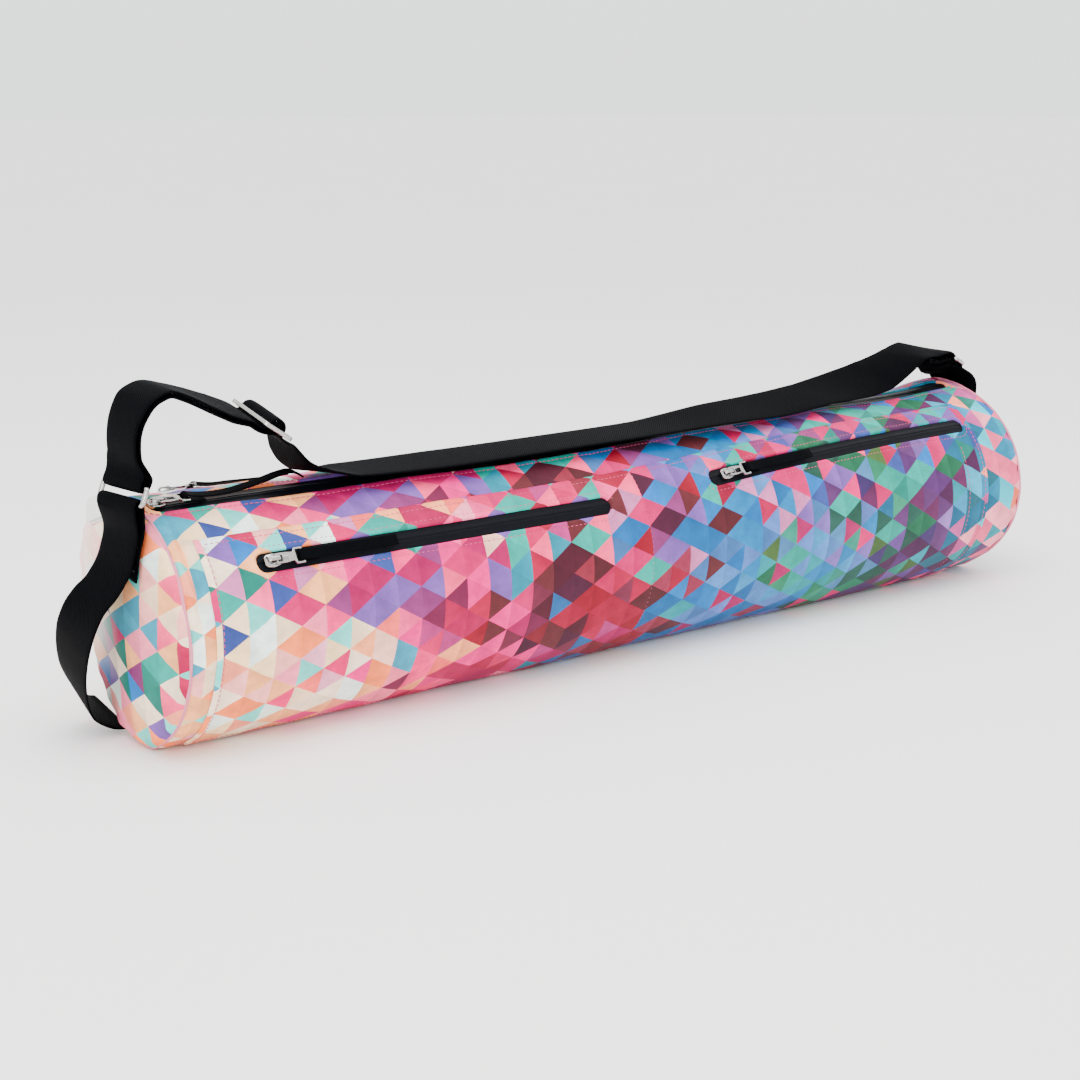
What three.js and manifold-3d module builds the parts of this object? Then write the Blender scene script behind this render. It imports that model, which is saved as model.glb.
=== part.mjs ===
// Yoga mat bag: a long cloth tube with two round ends, a full-length zip along its top,
// pocket zips on its front and back, a loose webbing handle across each end and one
// long shoulder strap between two metal rings.
//
// Millimetres. X runs along the bag, -Y is its front, +Z is up. The origin is the middle
// of the flat strip that the bag rests on. Angles run round the bag in degrees, from 0 at
// its top to 90 at its front, and negative towards its back.
import * as THREE from "three";
import { mergeVertices } from "three/addons/utils/BufferGeometryUtils.js";
import Module from "manifold-3d";

const wasm = await Module();
wasm.setup();

// Driving sizes of the cloth body
const bagLength = 700;
const half = bagLength / 2;
const bodyRadius = 70.2;
const bodyWall = 1.8;
const floorSink = 0.8;
const endWall = 1.6;
const endDome = 6.5;
const endTwist = 12.5;
const twistStart = -0.114 * half;
const twistLength = 360;
const seamGap = 0.3;

// The pocket panel laid over the front
const patchWall = 0.8;
const patchGap = 0.4;
const patchLeft = -half + 15;
const patchRight = half - 38;
const patchTopAngle = 41.5;
const patchTopDrift = 3.3;
const patchBottomAngle = 160;

// Zips: a tape with the coil as a low ridge along its middle
const zipGap = 0.3;
const tapeWall = 0.8;
const coilWidth = 4.2;
const coilHeight = 0.6;
const tapeSink = 0.5;
const mainZipWidth = 16;
const pocketZipWidth = 11.5;
const mainZip = { left: -half + 4, right: half - 12, angle: 14.5, width: mainZipWidth };
const leftZip = { left: -half + 46, right: -0.14 * half, angle: 57.8, width: pocketZipWidth };
const rightZip = { left: 0.114 * half, right: half - 47, angle: 57, width: pocketZipWidth };
const backZip = { left: -half + 32, right: -0.18 * half, angle: -27, width: pocketZipWidth };

// Zip slider, its pull tab and the doubled tape through the tab
const sliderLength = 10.5;
const sliderWidth = 8;
const sliderPlate = 2;
const sliderSeatGap = 0.3;
const bridgeWidth = 2.4;
const bridgeWall = 1.1;
const bridgeRoom = 2.1;
const bridgeReach = 0.76 * (sliderLength / 2);
const tabThick = 1.4;
const tabBar = 1.4;
const tabLength = 17.6;
const tabEndBar = 1.6;
const tabPlay = 0.6;
const pullWidth = 6.6;
const pullThick = 1;
const pullPlay = 0.3;
const pocketPullLength = 64;
const mainPullLength = 74;
const mainPullRise = 8;
const pullTuck = 10;

// Webbing of the shoulder strap and the end handles, and its metal fittings
const webWidth = 38;
const webThick = 1.8;
const fitPlay = 0.3;
const wireRadius = 1.6;
const ringInnerHeight = 7;
const ringSidePlay = 1;
const handleBulge = 30.5;
const handleTail = 26;
const handlePlay = 0.9;
const loopLength = 120;
const loopHeight = 63.5;
const loopAngle = 12.8;
const riseAngle = -5;
const riseHeight = 31;
const strapOffset = -17.9;
const adjusterBar = 3;
const adjusterThick = 2.5;
const adjusterSlot = 6.1;
const labelWidth = 24;
const labelAngle = -19;
const labelThick = 0.8;

const axisHeight = bodyRadius - floorSink;
const bagTop = axisHeight + bodyRadius;
const rad = THREE.MathUtils.degToRad;
const v3 = (x, y, z) => new THREE.Vector3(x, y, z);

// Dents and pinches of the cloth tube, and two bulges beside the strip that it lies on.
// along is a share of half the length, angle is in degrees, depth and reach are shares of
// the body radius, spread is in degrees.
const bodyDents = [
  { along: 0, angle: 165, depth: -0.028, reach: 12, spread: 10 },
  { along: 0, angle: -165, depth: -0.028, reach: 12, spread: 10 },
  { along: -1, angle: -104, depth: 0.11, reach: 0.8, spread: 46 },
  { along: -1, angle: -163, depth: 0.05, reach: 0.45, spread: 30 },
  { along: -1, angle: 72, depth: 0.03, reach: 0.2, spread: 12 },
  { along: -0.93, angle: 112, depth: 0.018, reach: 0.24, spread: 20 },
  { along: -0.62, angle: -35, depth: 0.02, reach: 0.9, spread: 18 },
  { along: -0.1, angle: -75, depth: 0.03, reach: 1.6, spread: 30 },
  { along: 0.45, angle: -110, depth: 0.03, reach: 1.1, spread: 34 },
  { along: 0.72, angle: 20, depth: 0.02, reach: 0.5, spread: 14 },
  { along: 1, angle: 150, depth: 0.03, reach: 0.35, spread: 30 },
  { along: 1, angle: -95, depth: 0.06, reach: 0.6, spread: 45 },
  { along: 1, angle: -20, depth: -0.1, reach: 0.6, spread: 26 },
];

// Where an end seam is drawn in along the bag. pull and reach are shares of the body
// radius, and spread is in degrees.
const seamPulls = [{ side: -1, angle: -112, pull: 0.11, reach: 0.75, spread: 60 }];

// Soft hollows of the round ends. radius is a share of the body radius, depth a share of
// the dome, spread a share of the body radius.
const endHollows = [
  { side: -1, angle: -100, radius: 0.85, depth: 0.55, spread: 0.45 },
  { side: -1, angle: -150, radius: 0.62, depth: 0.6, spread: 0.34 },
  { side: -1, angle: 60, radius: 0.75, depth: 0.35, spread: 0.3 },
  { side: 1, angle: 120, radius: 0.6, depth: 0.5, spread: 0.35 },
  { side: 1, angle: -8, radius: 0.85, depth: 0.6, spread: 0.4 },
];

// How far the dome stands out, as shares of the dome, at shares of the radius.
const domeRings = [
  { radius: 1, out: 0 },
  { radius: 0.95, out: 0.42 },
  { radius: 0.78, out: 0.75 },
  { radius: 0.45, out: 0.95 },
];

// Where the body has a section, as shares of half its length.
const bodySections = [-1, -0.975, -0.94, -0.89, -0.8, -0.6, -0.3, 0, 0.3, 0.6, 0.8, 0.92, 1];
const aroundSteps = 48;
const patchAroundSteps = 16;

function angleApart(a, b) {
  return Math.abs(((a - b + 540) % 360) - 180);
}

function bodyRadiusAt(x, angle) {
  let depth = 0;
  for (const dent of bodyDents) {
    const run = (x - dent.along * half) / (dent.reach * bodyRadius);
    const turn = angleApart(angle, dent.angle) / dent.spread;
    depth += dent.depth * Math.exp(-run * run - turn * turn);
  }
  return bodyRadius * (1 - depth);
}

function drawnIn(x, angle) {
  return seamPulls.reduce((sum, one) => {
    const run = (x - one.side * half) / (one.reach * bodyRadius);
    const turn = angleApart(angle, one.angle) / one.spread;
    return sum - one.side * one.pull * bodyRadius * Math.exp(-run * run - turn * turn);
  }, 0);
}

// A point at the given height over the cloth, with the underside pressed flat.
function bagPoint(x, angle, lift) {
  const reach = bodyRadiusAt(x, angle) + lift;
  const z = axisHeight + reach * Math.cos(rad(angle));
  return v3(x + drawnIn(x, angle), -reach * Math.sin(rad(angle)), Math.max(z, -lift));
}

// The cloth is laid on the roll with a slight twist towards its right end.
function twistAt(x) {
  const share = THREE.MathUtils.clamp((x - twistStart) / twistLength, 0, 1);
  return -endTwist * Math.sin((share * Math.PI) / 2);
}

function geometryOf(points, faces) {
  let volume = 0;
  const cross = new THREE.Vector3();
  for (const [a, b, c] of faces) volume += points[a].dot(cross.crossVectors(points[b], points[c]));
  const index = faces.flatMap(([a, b, c]) => (volume > 0 ? [a, b, c] : [a, c, b]));
  const geometry = new THREE.BufferGeometry();
  const places = points.flatMap((p) => [p.x, p.y, p.z]);
  geometry.setAttribute("position", new THREE.Float32BufferAttribute(places, 3));
  geometry.setIndex(index);
  return geometry;
}

// Joins closed loops of points into one body. A loop of one point is a tip. A ring of
// loops closes on itself, and otherwise flat ends pair each point with its opposite.
function skin(loops, ring = false) {
  const points = loops.flat();
  const starts = loops.map((loop, i) => loops.slice(0, i).reduce((sum, one) => sum + one.length, 0));
  const faces = [];
  const spans = ring ? loops.length : loops.length - 1;
  for (let i = 0; i < spans; i += 1) {
    const j = (i + 1) % loops.length;
    const steps = Math.max(loops[i].length, loops[j].length);
    for (let k = 0; k < steps; k += 1) {
      const next = (k + 1) % steps;
      const at = (loop, step) => starts[loop] + (loops[loop].length === 1 ? 0 : step);
      if (loops[i].length > 1) faces.push([at(i, k), at(i, next), at(j, k)]);
      if (loops[j].length > 1) faces.push([at(j, k), at(i, next), at(j, next)]);
    }
  }
  const flatEnd = (loop, turn) => {
    const count = loops[loop].length;
    for (let k = 0; k < count / 2 - 1; k += 1) {
      const corners = [k, k + 1, count - 2 - k, count - 1 - k].map((step) => starts[loop] + step);
      const [a, b, c, d] = turn ? corners : corners.reverse();
      faces.push([a, b, c], [a, c, d]);
    }
  };
  if (!ring && loops[0].length > 1) flatEnd(0, false);
  if (!ring && loops.at(-1).length > 1) flatEnd(loops.length - 1, true);
  return geometryOf(points, faces);
}

function solidOf(geometry) {
  const bare = geometry.clone();
  bare.deleteAttribute("normal");
  bare.deleteAttribute("uv");
  const merged = mergeVertices(bare, 1e-4);
  return new wasm.Manifold(
    new wasm.Mesh({
      numProp: 3,
      vertProperties: new Float32Array(merged.attributes.position.array),
      triVerts: new Uint32Array(merged.index.array),
    }),
  );
}

function geometryFrom(solid) {
  const mesh = solid.getMesh();
  const geometry = new THREE.BufferGeometry();
  geometry.setAttribute("position", new THREE.Float32BufferAttribute(mesh.vertProperties, 3));
  geometry.setIndex(Array.from(mesh.triVerts));
  return geometry;
}

// The cloth tube: outer loops one way, inner loops back, closed into one wall.
function tubeGeometry() {
  const loopAt = (x, lift) =>
    Array.from({ length: aroundSteps }, (_, k) => bagPoint(x, (k * 360) / aroundSteps, lift));
  const outer = bodySections.map((share) => loopAt(share * half, 0));
  const inner = bodySections.map((share) => loopAt(share * half, -bodyWall)).reverse();
  return skin([...outer, ...inner], true);
}

function hollowAt(side, angle, share) {
  let depth = 0;
  for (const dent of endHollows.filter((one) => one.side === side)) {
    const turn = rad(angleApart(angle, dent.angle));
    const away = Math.hypot(share * Math.sin(turn), share * Math.cos(turn) - dent.radius) / dent.spread;
    depth += dent.depth * Math.exp(-away * away);
  }
  return depth * share ** 0.5 * (1 - share ** 4);
}

// How far an end stands out over its seam, for a ring of the dome.
function proudAt(side, angle, ring) {
  return endDome * Math.max(ring.out - hollowAt(side, angle, ring.radius), 0.05 * ring.out);
}

// The outside of an end, along the bag, at a place on it.
function endFace(side, y, z) {
  const angle = THREE.MathUtils.radToDeg(Math.atan2(-y, z - axisHeight));
  const rim = bagPoint(side * half, angle, 0);
  const share = Math.min(Math.hypot(y, z - axisHeight) / Math.hypot(rim.y, rim.z - axisHeight), 1);
  const rings = [...domeRings, { radius: 0, out: 1 }];
  const place = Math.max(rings.findIndex((ring) => ring.radius <= share), 1);
  const outer = rings[place - 1];
  const inner = rings[place];
  const fromSeam = (outer.radius - share) / (outer.radius - inner.radius);
  const proud = THREE.MathUtils.lerp(proudAt(side, angle, outer), proudAt(side, angle, inner), fromSeam);
  return side * (half + seamGap + endWall + proud) + drawnIn(side * half, angle) * share;
}

// A round end: a domed sheet whose rim follows the end of the tube.
function endGeometry(side) {
  const pointAt = (share, out, angle, lift) => {
    const rim = bagPoint(side * half, angle, 0);
    const proud = proudAt(side, angle, { radius: share, out });
    const x = side * (half + seamGap + lift + proud) + drawnIn(side * half, angle) * share;
    return v3(x, rim.y * share, axisHeight + (rim.z - axisHeight) * share);
  };
  const angles = Array.from({ length: aroundSteps }, (_, k) => (k * 360) / aroundSteps);
  const loopAt = (ring, lift) => angles.map((angle) => pointAt(ring.radius, ring.out, angle, lift));
  const outer = domeRings.map((ring) => loopAt(ring, endWall));
  const inner = domeRings.map((ring) => loopAt(ring, 0)).reverse();
  return skin([[pointAt(0, 1, 0, 0)], ...inner, ...outer, [pointAt(0, 1, 0, endWall)]]);
}

// Sections of a strip with rounded ends: place along it and share of its full width.
function stripSections(left, right, width) {
  const ends = [
    { in: 0, width: 0.5 },
    { in: 0.18, width: 0.84 },
    { in: 0.5, width: 1 },
  ];
  const sections = bodySections.map((share) => share * half);
  const middle = sections.filter((x) => x > left + width && x < right - width);
  return [
    ...ends.map((end) => ({ x: left + end.in * width, width: end.width })),
    ...middle.map((x) => ({ x, width: 1 })),
    ...ends.reverse().map((end) => ({ x: right - end.in * width, width: end.width })),
  ];
}

// A strip laid on the cloth along a zip. Each profile row is a share of the half width
// and a height over the cloth, first along its top and then back along its underside.
function zipStrip(zip, width, profile) {
  const loops = stripSections(zip.left, zip.right, width).map((section) =>
    profile.map((row) => {
      const across = (row.across * section.width * width) / 2;
      const turn = THREE.MathUtils.radToDeg(across / bodyRadius);
      return bagPoint(section.x, zip.angle + twistAt(section.x) - turn, row.lift);
    }),
  );
  return skin(loops);
}

function windowCutter(zip) {
  const deep = bodyWall * 2;
  const profile = [
    { across: -1, lift: deep },
    { across: 0, lift: deep },
    { across: 1, lift: deep },
    { across: 1, lift: -deep },
    { across: 0, lift: -deep },
    { across: -1, lift: -deep },
  ];
  return solidOf(zipStrip(zip, zip.width, profile));
}

function tapeTop(zip) {
  return zip.angle > 30 ? patchGap + tapeWall : -tapeSink;
}

function tapeGeometry(zip) {
  const width = zip.width - zipGap * 2;
  const top = tapeTop(zip);
  const coil = coilWidth / width;
  const profile = [
    { across: -1, lift: top },
    { across: -coil, lift: top },
    { across: -coil * 0.5, lift: top + coilHeight },
    { across: coil * 0.5, lift: top + coilHeight },
    { across: coil, lift: top },
    { across: 1, lift: top },
    { across: 1, lift: top - tapeWall },
    { across: coil, lift: top - tapeWall },
    { across: coil * 0.5, lift: top - tapeWall },
    { across: -coil * 0.5, lift: top - tapeWall },
    { across: -coil, lift: top - tapeWall },
    { across: -1, lift: top - tapeWall },
  ];
  return zipStrip({ ...zip, left: zip.left + zipGap, right: zip.right - zipGap }, width, profile);
}

// The pocket panel: a sheet between a drifting top edge and a level bottom edge.
function patchGeometry() {
  const inside = bodySections.map((share) => share * half).filter((x) => x > patchLeft && x < patchRight);
  const topAt = (x) => {
    const share = THREE.MathUtils.clamp((x + half) / bagLength, 0, 1);
    return patchTopAngle - patchTopDrift * share + twistAt(x);
  };
  const loops = [patchLeft, ...inside, patchRight].map((x) => {
    const angles = Array.from({ length: patchAroundSteps + 1 }, (_, k) =>
      THREE.MathUtils.lerp(topAt(x), patchBottomAngle, k / patchAroundSteps),
    );
    const outer = angles.map((angle) => bagPoint(x, angle, patchGap + patchWall));
    const inner = angles.map((angle) => bagPoint(x, angle, patchGap)).reverse();
    return [...outer, ...inner];
  });
  return skin(loops);
}

function prism(outline, depth, start = 0) {
  const shape = new THREE.Shape(outline.map(([x, y]) => new THREE.Vector2(x, y)));
  const geometry = new THREE.ExtrudeGeometry(shape, { depth, bevelEnabled: false });
  return solidOf(geometry.translate(0, 0, start));
}

// A flat piece with straight holes, cut a little past both of its faces.
function extruded(outline, depth, holes = []) {
  const past = 1;
  const cutters = holes.map((hole) => prism(hole, depth + past * 2, -past));
  return geometryFrom(cutters.reduce((solid, cutter) => solid.subtract(cutter), prism(outline, depth)));
}

// Slider: a plate shaped like a shield, with a bridge along its middle for the tab.
function sliderGeometry() {
  const nose = sliderLength / 2;
  const side = sliderWidth / 2;
  const plate = extruded(
    [
      [-nose, -side * 0.55],
      [-nose * 0.7, -side * 0.9],
      [0, -side],
      [nose * 0.7, -side * 0.8],
      [nose, -side * 0.5],
      [nose, side * 0.5],
      [nose * 0.7, side * 0.8],
      [0, side],
      [-nose * 0.7, side * 0.9],
      [-nose, side * 0.55],
    ],
    sliderPlate,
  );
  const foot = sliderPlate / 2;
  const roof = sliderPlate + bridgeRoom;
  const reach = bridgeReach;
  const room = reach - bridgeWall;
  const bridge = extruded(
    [
      [-reach, foot],
      [reach, foot],
      [reach, roof],
      [reach - bridgeWall, roof + bridgeWall],
      [-reach + bridgeWall, roof + bridgeWall],
      [-reach, roof],
    ],
    bridgeWidth,
    [
      [
        [-room, sliderPlate],
        [-room, roof - 0.4],
        [-room + 0.4, roof],
        [room - 0.4, roof],
        [room, roof - 0.4],
        [room, sliderPlate],
      ],
    ],
  );
  bridge.rotateX(Math.PI / 2);
  bridge.translate(0, bridgeWidth / 2, 0);
  return geometryFrom(solidOf(plate).add(solidOf(bridge)));
}

// Pull tab: a bar held under the bridge, a frame round its leg, a waist, and a wider
// frame at the far end that the doubled tape passes through.
function tabGeometry() {
  const neck = bridgeWidth / 2 + tabPlay;
  const start = bridgeReach - bridgeWall - tabPlay - tabBar;
  const leg = start + tabBar + tabPlay * 2 + bridgeWall + 0.6;
  const end = start + tabLength;
  const slot = pullWidth / 2 + pullPlay;
  const slotEnd = end - tabEndBar;
  const slotStart = slotEnd - pullThick * 2 - tabEndBar;
  const outer = neck + tabBar * 0.9;
  const flare = slot + tabBar * 0.8;
  const shape = extruded(
    [
      [start, -outer],
      [leg + tabBar, -outer],
      [slotStart - tabBar, -outer * 0.8],
      [slotStart, -flare],
      [end, -flare],
      [end, flare],
      [slotStart, flare],
      [slotStart - tabBar, outer * 0.8],
      [leg + tabBar, outer],
      [start, outer],
    ],
    tabThick,
    [
      [
        [start + tabBar, -neck],
        [start + tabBar, neck],
        [leg, neck],
        [leg, -neck],
      ],
      [
        [slotStart + 0.4, -slot],
        [slotStart + 0.4, slot],
        [slotEnd, slot],
        [slotEnd, -slot],
      ],
    ],
  );
  shape.translate(0, 0, sliderPlate + (bridgeRoom - tabThick) / 2);
  return shape;
}

// Where the tab's end bar is, seen from the slider's middle and its seat.
function tabEnd() {
  const start = bridgeReach - bridgeWall - tabPlay - tabBar;
  return { along: start + tabLength - tabEndBar / 2, height: sliderPlate + bridgeRoom / 2 };
}

function smooth(rows, steps) {
  const curve = new THREE.CatmullRomCurve3(rows.map((row) => row.at), false, "centripetal");
  const count = (rows.length - 1) * steps;
  return Array.from({ length: count + 1 }, (_, k) => {
    const place = Math.min(Math.floor(k / steps), rows.length - 2);
    const share = k / steps - place;
    return {
      at: curve.getPoint(k / count),
      along: curve.getTangent(k / count),
      across: rows[place].across.clone().lerp(rows[place + 1].across, share),
    };
  });
}

// A flat tape or webbing along rows that give its middle and the way its width runs.
function webGeometry(rows, width, thick, steps = 2) {
  const loops = smooth(rows, steps).map(({ at, along, across }) => {
    const side = across.addScaledVector(along, -across.dot(along)).setLength(width / 2);
    const up = new THREE.Vector3().crossVectors(along, side).setLength(thick / 2);
    return [
      at.clone().add(side).add(up),
      at.clone().sub(side).add(up),
      at.clone().sub(side).sub(up),
      at.clone().add(side).sub(up),
    ];
  });
  return skin(loops);
}

// The doubled tape on a tab: a short leg under the end bar, round it, and a long leg.
// rise is a table of shares of the long leg and of the height it bows up by.
function pullRows(zip, sliderAt, length, bow, bowRows) {
  const seat = tapeTop(zip) + coilHeight + sliderSeatGap;
  const end = tabEnd();
  const turn = Math.hypot(tabEndBar, tabThick) / 2 + pullPlay + pullThick / 2;
  const rest = pullThick * 0.5;
  const second = rest + pullThick + pullPlay * 2;
  const rows = [
    [end.along + turn + pullTuck, rest],
    [end.along + turn + pullTuck * 0.5, rest + 0.1],
    [end.along + turn * 0.9, Math.max(end.height - turn, rest) + 0.05],
    [end.along, end.height - turn],
    [end.along - turn * 0.7, end.height - turn * 0.7],
    [end.along - turn, end.height],
    [end.along - turn * 0.7, end.height + turn * 0.7],
    [end.along, end.height + turn],
    [end.along + turn * 1.4, end.height + turn * 0.7],
    [end.along + turn + pullTuck, Math.max(second, end.height)],
    ...bowRows.map((row) => [end.along + row.along * length, second + row.rise * bow]),
  ];
  return rows.map(([along, height]) => {
    const x = sliderAt + along;
    const angle = zip.angle + twistAt(x);
    const across = v3(0, Math.cos(rad(angle)), Math.sin(rad(angle)));
    return { at: bagPoint(x, angle, seat + height), across };
  });
}

const restingPull = [
  { along: 0.35, rise: 0.9 },
  { along: 0.65, rise: 0.5 },
  { along: 1, rise: 0.3 },
];
const bowedPull = [
  { along: 0.35, rise: 0.12 },
  { along: 0.6, rise: 0.5 },
  { along: 0.8, rise: 0.95 },
  { along: 0.9, rise: 1 },
  { along: 1, rise: 0.55 },
];

// A closed wire round a rounded rectangle: height across the bars, width along them.
function wireRing(width, height, wire) {
  const corner = wire * 1.5;
  const corners = [
    [1, 1, 0],
    [-1, 1, 90],
    [-1, -1, 180],
    [1, -1, 270],
  ];
  const path = [];
  for (const [sideY, sideZ, from] of corners) {
    for (let k = 0; k <= 3; k += 1) {
      const turn = rad(from + k * 30);
      const y = sideY * (width / 2 + wire - corner) + corner * Math.cos(turn);
      const z = sideZ * (height / 2 + wire - corner) + corner * Math.sin(turn);
      path.push({ y, z, turn });
    }
  }
  const loops = path.map(({ y, z, turn }) =>
    Array.from({ length: 8 }, (_, k) => {
      const round = rad(k * 45 + 22.5);
      const out = wire * Math.cos(round);
      return v3(wire * Math.sin(round), y + out * Math.cos(turn), z + out * Math.sin(turn));
    }),
  );
  return skin(loops, true);
}

// Adjuster: a flat frame with a middle bar. X runs along the strap, Y across it.
function adjusterGeometry() {
  const inner = webWidth / 2 + ringSidePlay;
  const outer = inner + adjusterBar;
  const slotStart = adjusterBar / 2;
  const slotEnd = slotStart + adjusterSlot;
  const edge = slotEnd + adjusterBar;
  const cut = adjusterBar * 0.6;
  const slot = (side) => [
    [side * slotStart, -inner],
    [side * slotEnd, -inner],
    [side * slotEnd, inner],
    [side * slotStart, inner],
  ];
  const frame = extruded(
    [
      [-edge + cut, -outer],
      [edge - cut, -outer],
      [edge, -outer + cut],
      [edge, outer - cut],
      [edge - cut, outer],
      [-edge + cut, outer],
      [-edge, outer - cut],
      [-edge, -outer + cut],
    ],
    adjusterThick,
    [slot(1), slot(-1)],
  );
  frame.translate(0, 0, -adjusterThick / 2);
  return frame;
}

// A ring's place: its middle, the way its height leans and the way its bars run.
function ringPlace(side, angle, out, above, lean, yaw) {
  const reach = bodyRadius + above;
  const turn = rad(angle);
  const middle = v3(side * (half + out), -reach * Math.sin(turn), axisHeight + reach * Math.cos(turn));
  const bars = v3(-side * Math.sin(rad(yaw)), Math.cos(rad(yaw)), 0);
  const inward = v3(-side, 0, 0);
  const up = inward.clone().multiplyScalar(Math.sin(rad(lean))).add(v3(0, 0, Math.cos(rad(lean))));
  up.addScaledVector(bars, -up.dot(bars)).normalize();
  const face = new THREE.Vector3().crossVectors(bars, up);
  const barReach = ringInnerHeight / 2 + wireRadius;
  return {
    middle,
    bars,
    up,
    face,
    upperBar: middle.clone().addScaledVector(up, barReach),
    lowerBar: middle.clone().addScaledVector(up, -barReach),
  };
}

const leftRing = ringPlace(-1, loopAngle, 9.3, 10.2, 23, -4);
const rightRing = ringPlace(1, riseAngle, -8, 21, 62, 4);

// Rows that carry webbing round a bar: away points from the bar along both legs, out
// points to the side that the webbing comes from.
function turnRows(bar, away, out, across, legs) {
  const turn = wireRadius + fitPlay + webThick / 2;
  const table = [
    { out: 1, away: legs },
    { out: 1, away: 0 },
    { out: 0.71, away: -0.71 },
    { out: 0, away: -1 },
    { out: -0.71, away: -0.71 },
    { out: -1, away: 0 },
    { out: -1, away: legs },
  ];
  return table.map((row) => ({
    at: bar
      .clone()
      .addScaledVector(out, row.out * turn)
      .addScaledVector(away, row.away * turn),
    across,
  }));
}

// The strap's loop over the left end. along is a share of the loop's length from the left
// seam, rise a share of its height over the top of the bag. roll lifts the far edge and
// yaw turns it along the bag, in degrees.
const loopRows = [
  { along: -0.076, rise: 0.447, roll: 0, yaw: 4 },
  { along: -0.074, rise: 0.62, roll: 0, yaw: 4 },
  { along: -0.053, rise: 0.762, roll: 2, yaw: 3 },
  { along: 0.0, rise: 0.92, roll: 3, yaw: 0 },
  { along: 0.05, rise: 0.975, roll: 3, yaw: 0 },
  { along: 0.106, rise: 1.0, roll: 3, yaw: 0 },
  { along: 0.2, rise: 0.95, roll: 6, yaw: 0 },
  { along: 0.3125, rise: 0.865, roll: 11, yaw: 0 },
  { along: 0.425, rise: 0.775, roll: 14, yaw: 0 },
];
const adjusterSpot = { along: 0.65, rise: 0.61, slope: 34, tilt: 14 };
const fallRows = [
  { along: 0.775, rise: 0.31, roll: 3, yaw: 0 },
  { along: 0.825, rise: 0.198, roll: -4, yaw: 0 },
  { along: 0.892, rise: 0.121, roll: -8, yaw: 0 },
  { along: 1.0, rise: 0.072, roll: -4, yaw: 0 },
];

// The strap along the top, from the loop to the right ring. along is a share of half the
// length, height is over the top of the bag as a share of the rise, across is a share of
// the body radius, and roll lifts the far edge, in degrees.
const topRows = [
  { along: -0.62, height: 0.11, across: -0.255, roll: 2 },
  { along: -0.43, height: 0.075, across: -0.255, roll: 5 },
  { along: -0.17, height: 0.09, across: -0.255, roll: 4 },
  { along: 0.06, height: 0.12, across: -0.255, roll: 4 },
  { along: 0.24, height: 0.207, across: -0.2365, roll: 11.6 },
  { along: 0.4, height: 0.219, across: -0.171, roll: 15.5 },
  { along: 0.54, height: 0.301, across: -0.101, roll: 15.2 },
  { along: 0.67, height: 0.381, across: -0.021, roll: 24.7 },
  { along: 0.75, height: 0.497, across: 0.02, roll: 27.4 },
  { along: 0.81, height: 0.71, across: 0.038, roll: 16.7 },
  { along: 0.857, height: 0.908, across: 0.0515, roll: 8 },
  { along: 0.903, height: 0.97, across: 0.07, roll: 11 },
];
const tailRows = [
  { along: 0.873, height: 0.84, across: 0.06, roll: 8 },
  { along: 0.91, height: 0.79, across: 0.08, roll: 8 },
];

// The webbing through the adjuster, seen from its side: u along the strap, w over the
// frame. The sliding run goes over the sewn turn round the middle bar.
function adjusterRows() {
  const middle = v3(
    -half + adjusterSpot.along * loopLength,
    strapOffset,
    bagTop + adjusterSpot.rise * loopHeight,
  );
  const down = rad(adjusterSpot.slope);
  const tilt = rad(adjusterSpot.tilt);
  const along = v3(Math.cos(down), 0, -Math.sin(down));
  const across = v3(0, Math.cos(tilt), Math.sin(tilt));
  across.addScaledVector(along, -across.dot(along)).normalize();
  const over = new THREE.Vector3().crossVectors(along, across);
  const place = (u, w) => ({
    at: middle.clone().addScaledVector(along, u).addScaledVector(over, w),
    across,
  });
  const bar = Math.hypot(adjusterBar, adjusterThick) / 2;
  const inner = bar + fitPlay + webThick / 2;
  const outer = inner + webThick + fitPlay * 1.6;
  const edge = adjusterBar / 2 + adjusterSlot;
  const under = adjusterThick / 2 + fitPlay + webThick / 2;
  const sliding = [
    [edge + adjusterBar + 4, -under - 0.9],
    [edge + adjusterBar * 0.4, -under - 0.8],
    [edge - 1.4, -under + 0.1],
    [outer, 0.4],
    [outer * 0.82, outer * 0.62],
    [outer * 0.45, outer * 0.95],
  ];
  const mirrored = sliding.map(([u, w]) => [-u, w]).reverse();
  const run = [...sliding, [0, outer * 1.02], ...mirrored].map(([u, w]) => place(u, w));
  const second = under + webThick + fitPlay * 2 + 1;
  const sewn = [
    [-edge - adjusterBar - 4, -second - 0.2],
    [-edge, -second - 0.1],
    [-edge * 0.45, -inner - 1.6],
    [0, -inner],
    [inner * 0.71, -inner * 0.71],
    [inner, 0],
    [inner * 0.71, inner * 0.71],
    [0, inner],
    [-inner * 0.71, inner * 0.71],
    [-inner, 0.2],
  ].map(([u, w]) => place(u, w));
  return { middle, along, across, over, run, sewn };
}

const adjuster = adjusterRows();

function loopRow(row, inset = { x: 0, z: 0 }) {
  const roll = rad(row.roll);
  const yaw = rad(row.yaw);
  const x = -half + row.along * loopLength + inset.x;
  return {
    at: v3(x, strapOffset, bagTop + row.rise * loopHeight + inset.z),
    across: v3(Math.sin(yaw), Math.cos(yaw) * Math.cos(roll), Math.sin(roll)),
  };
}

// The second layer of the loop lies inside the first, one webbing and a little air away.
function insetAt(place) {
  const before = loopRows[Math.max(place - 1, 0)];
  const after = loopRows[Math.min(place + 1, loopRows.length - 1)];
  const goneX = (after.along - before.along) * loopLength;
  const run = v3(goneX, 0, (after.rise - before.rise) * loopHeight).normalize();
  const apart = webThick + fitPlay * 4;
  return { x: run.z * apart, z: -run.x * apart };
}

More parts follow.
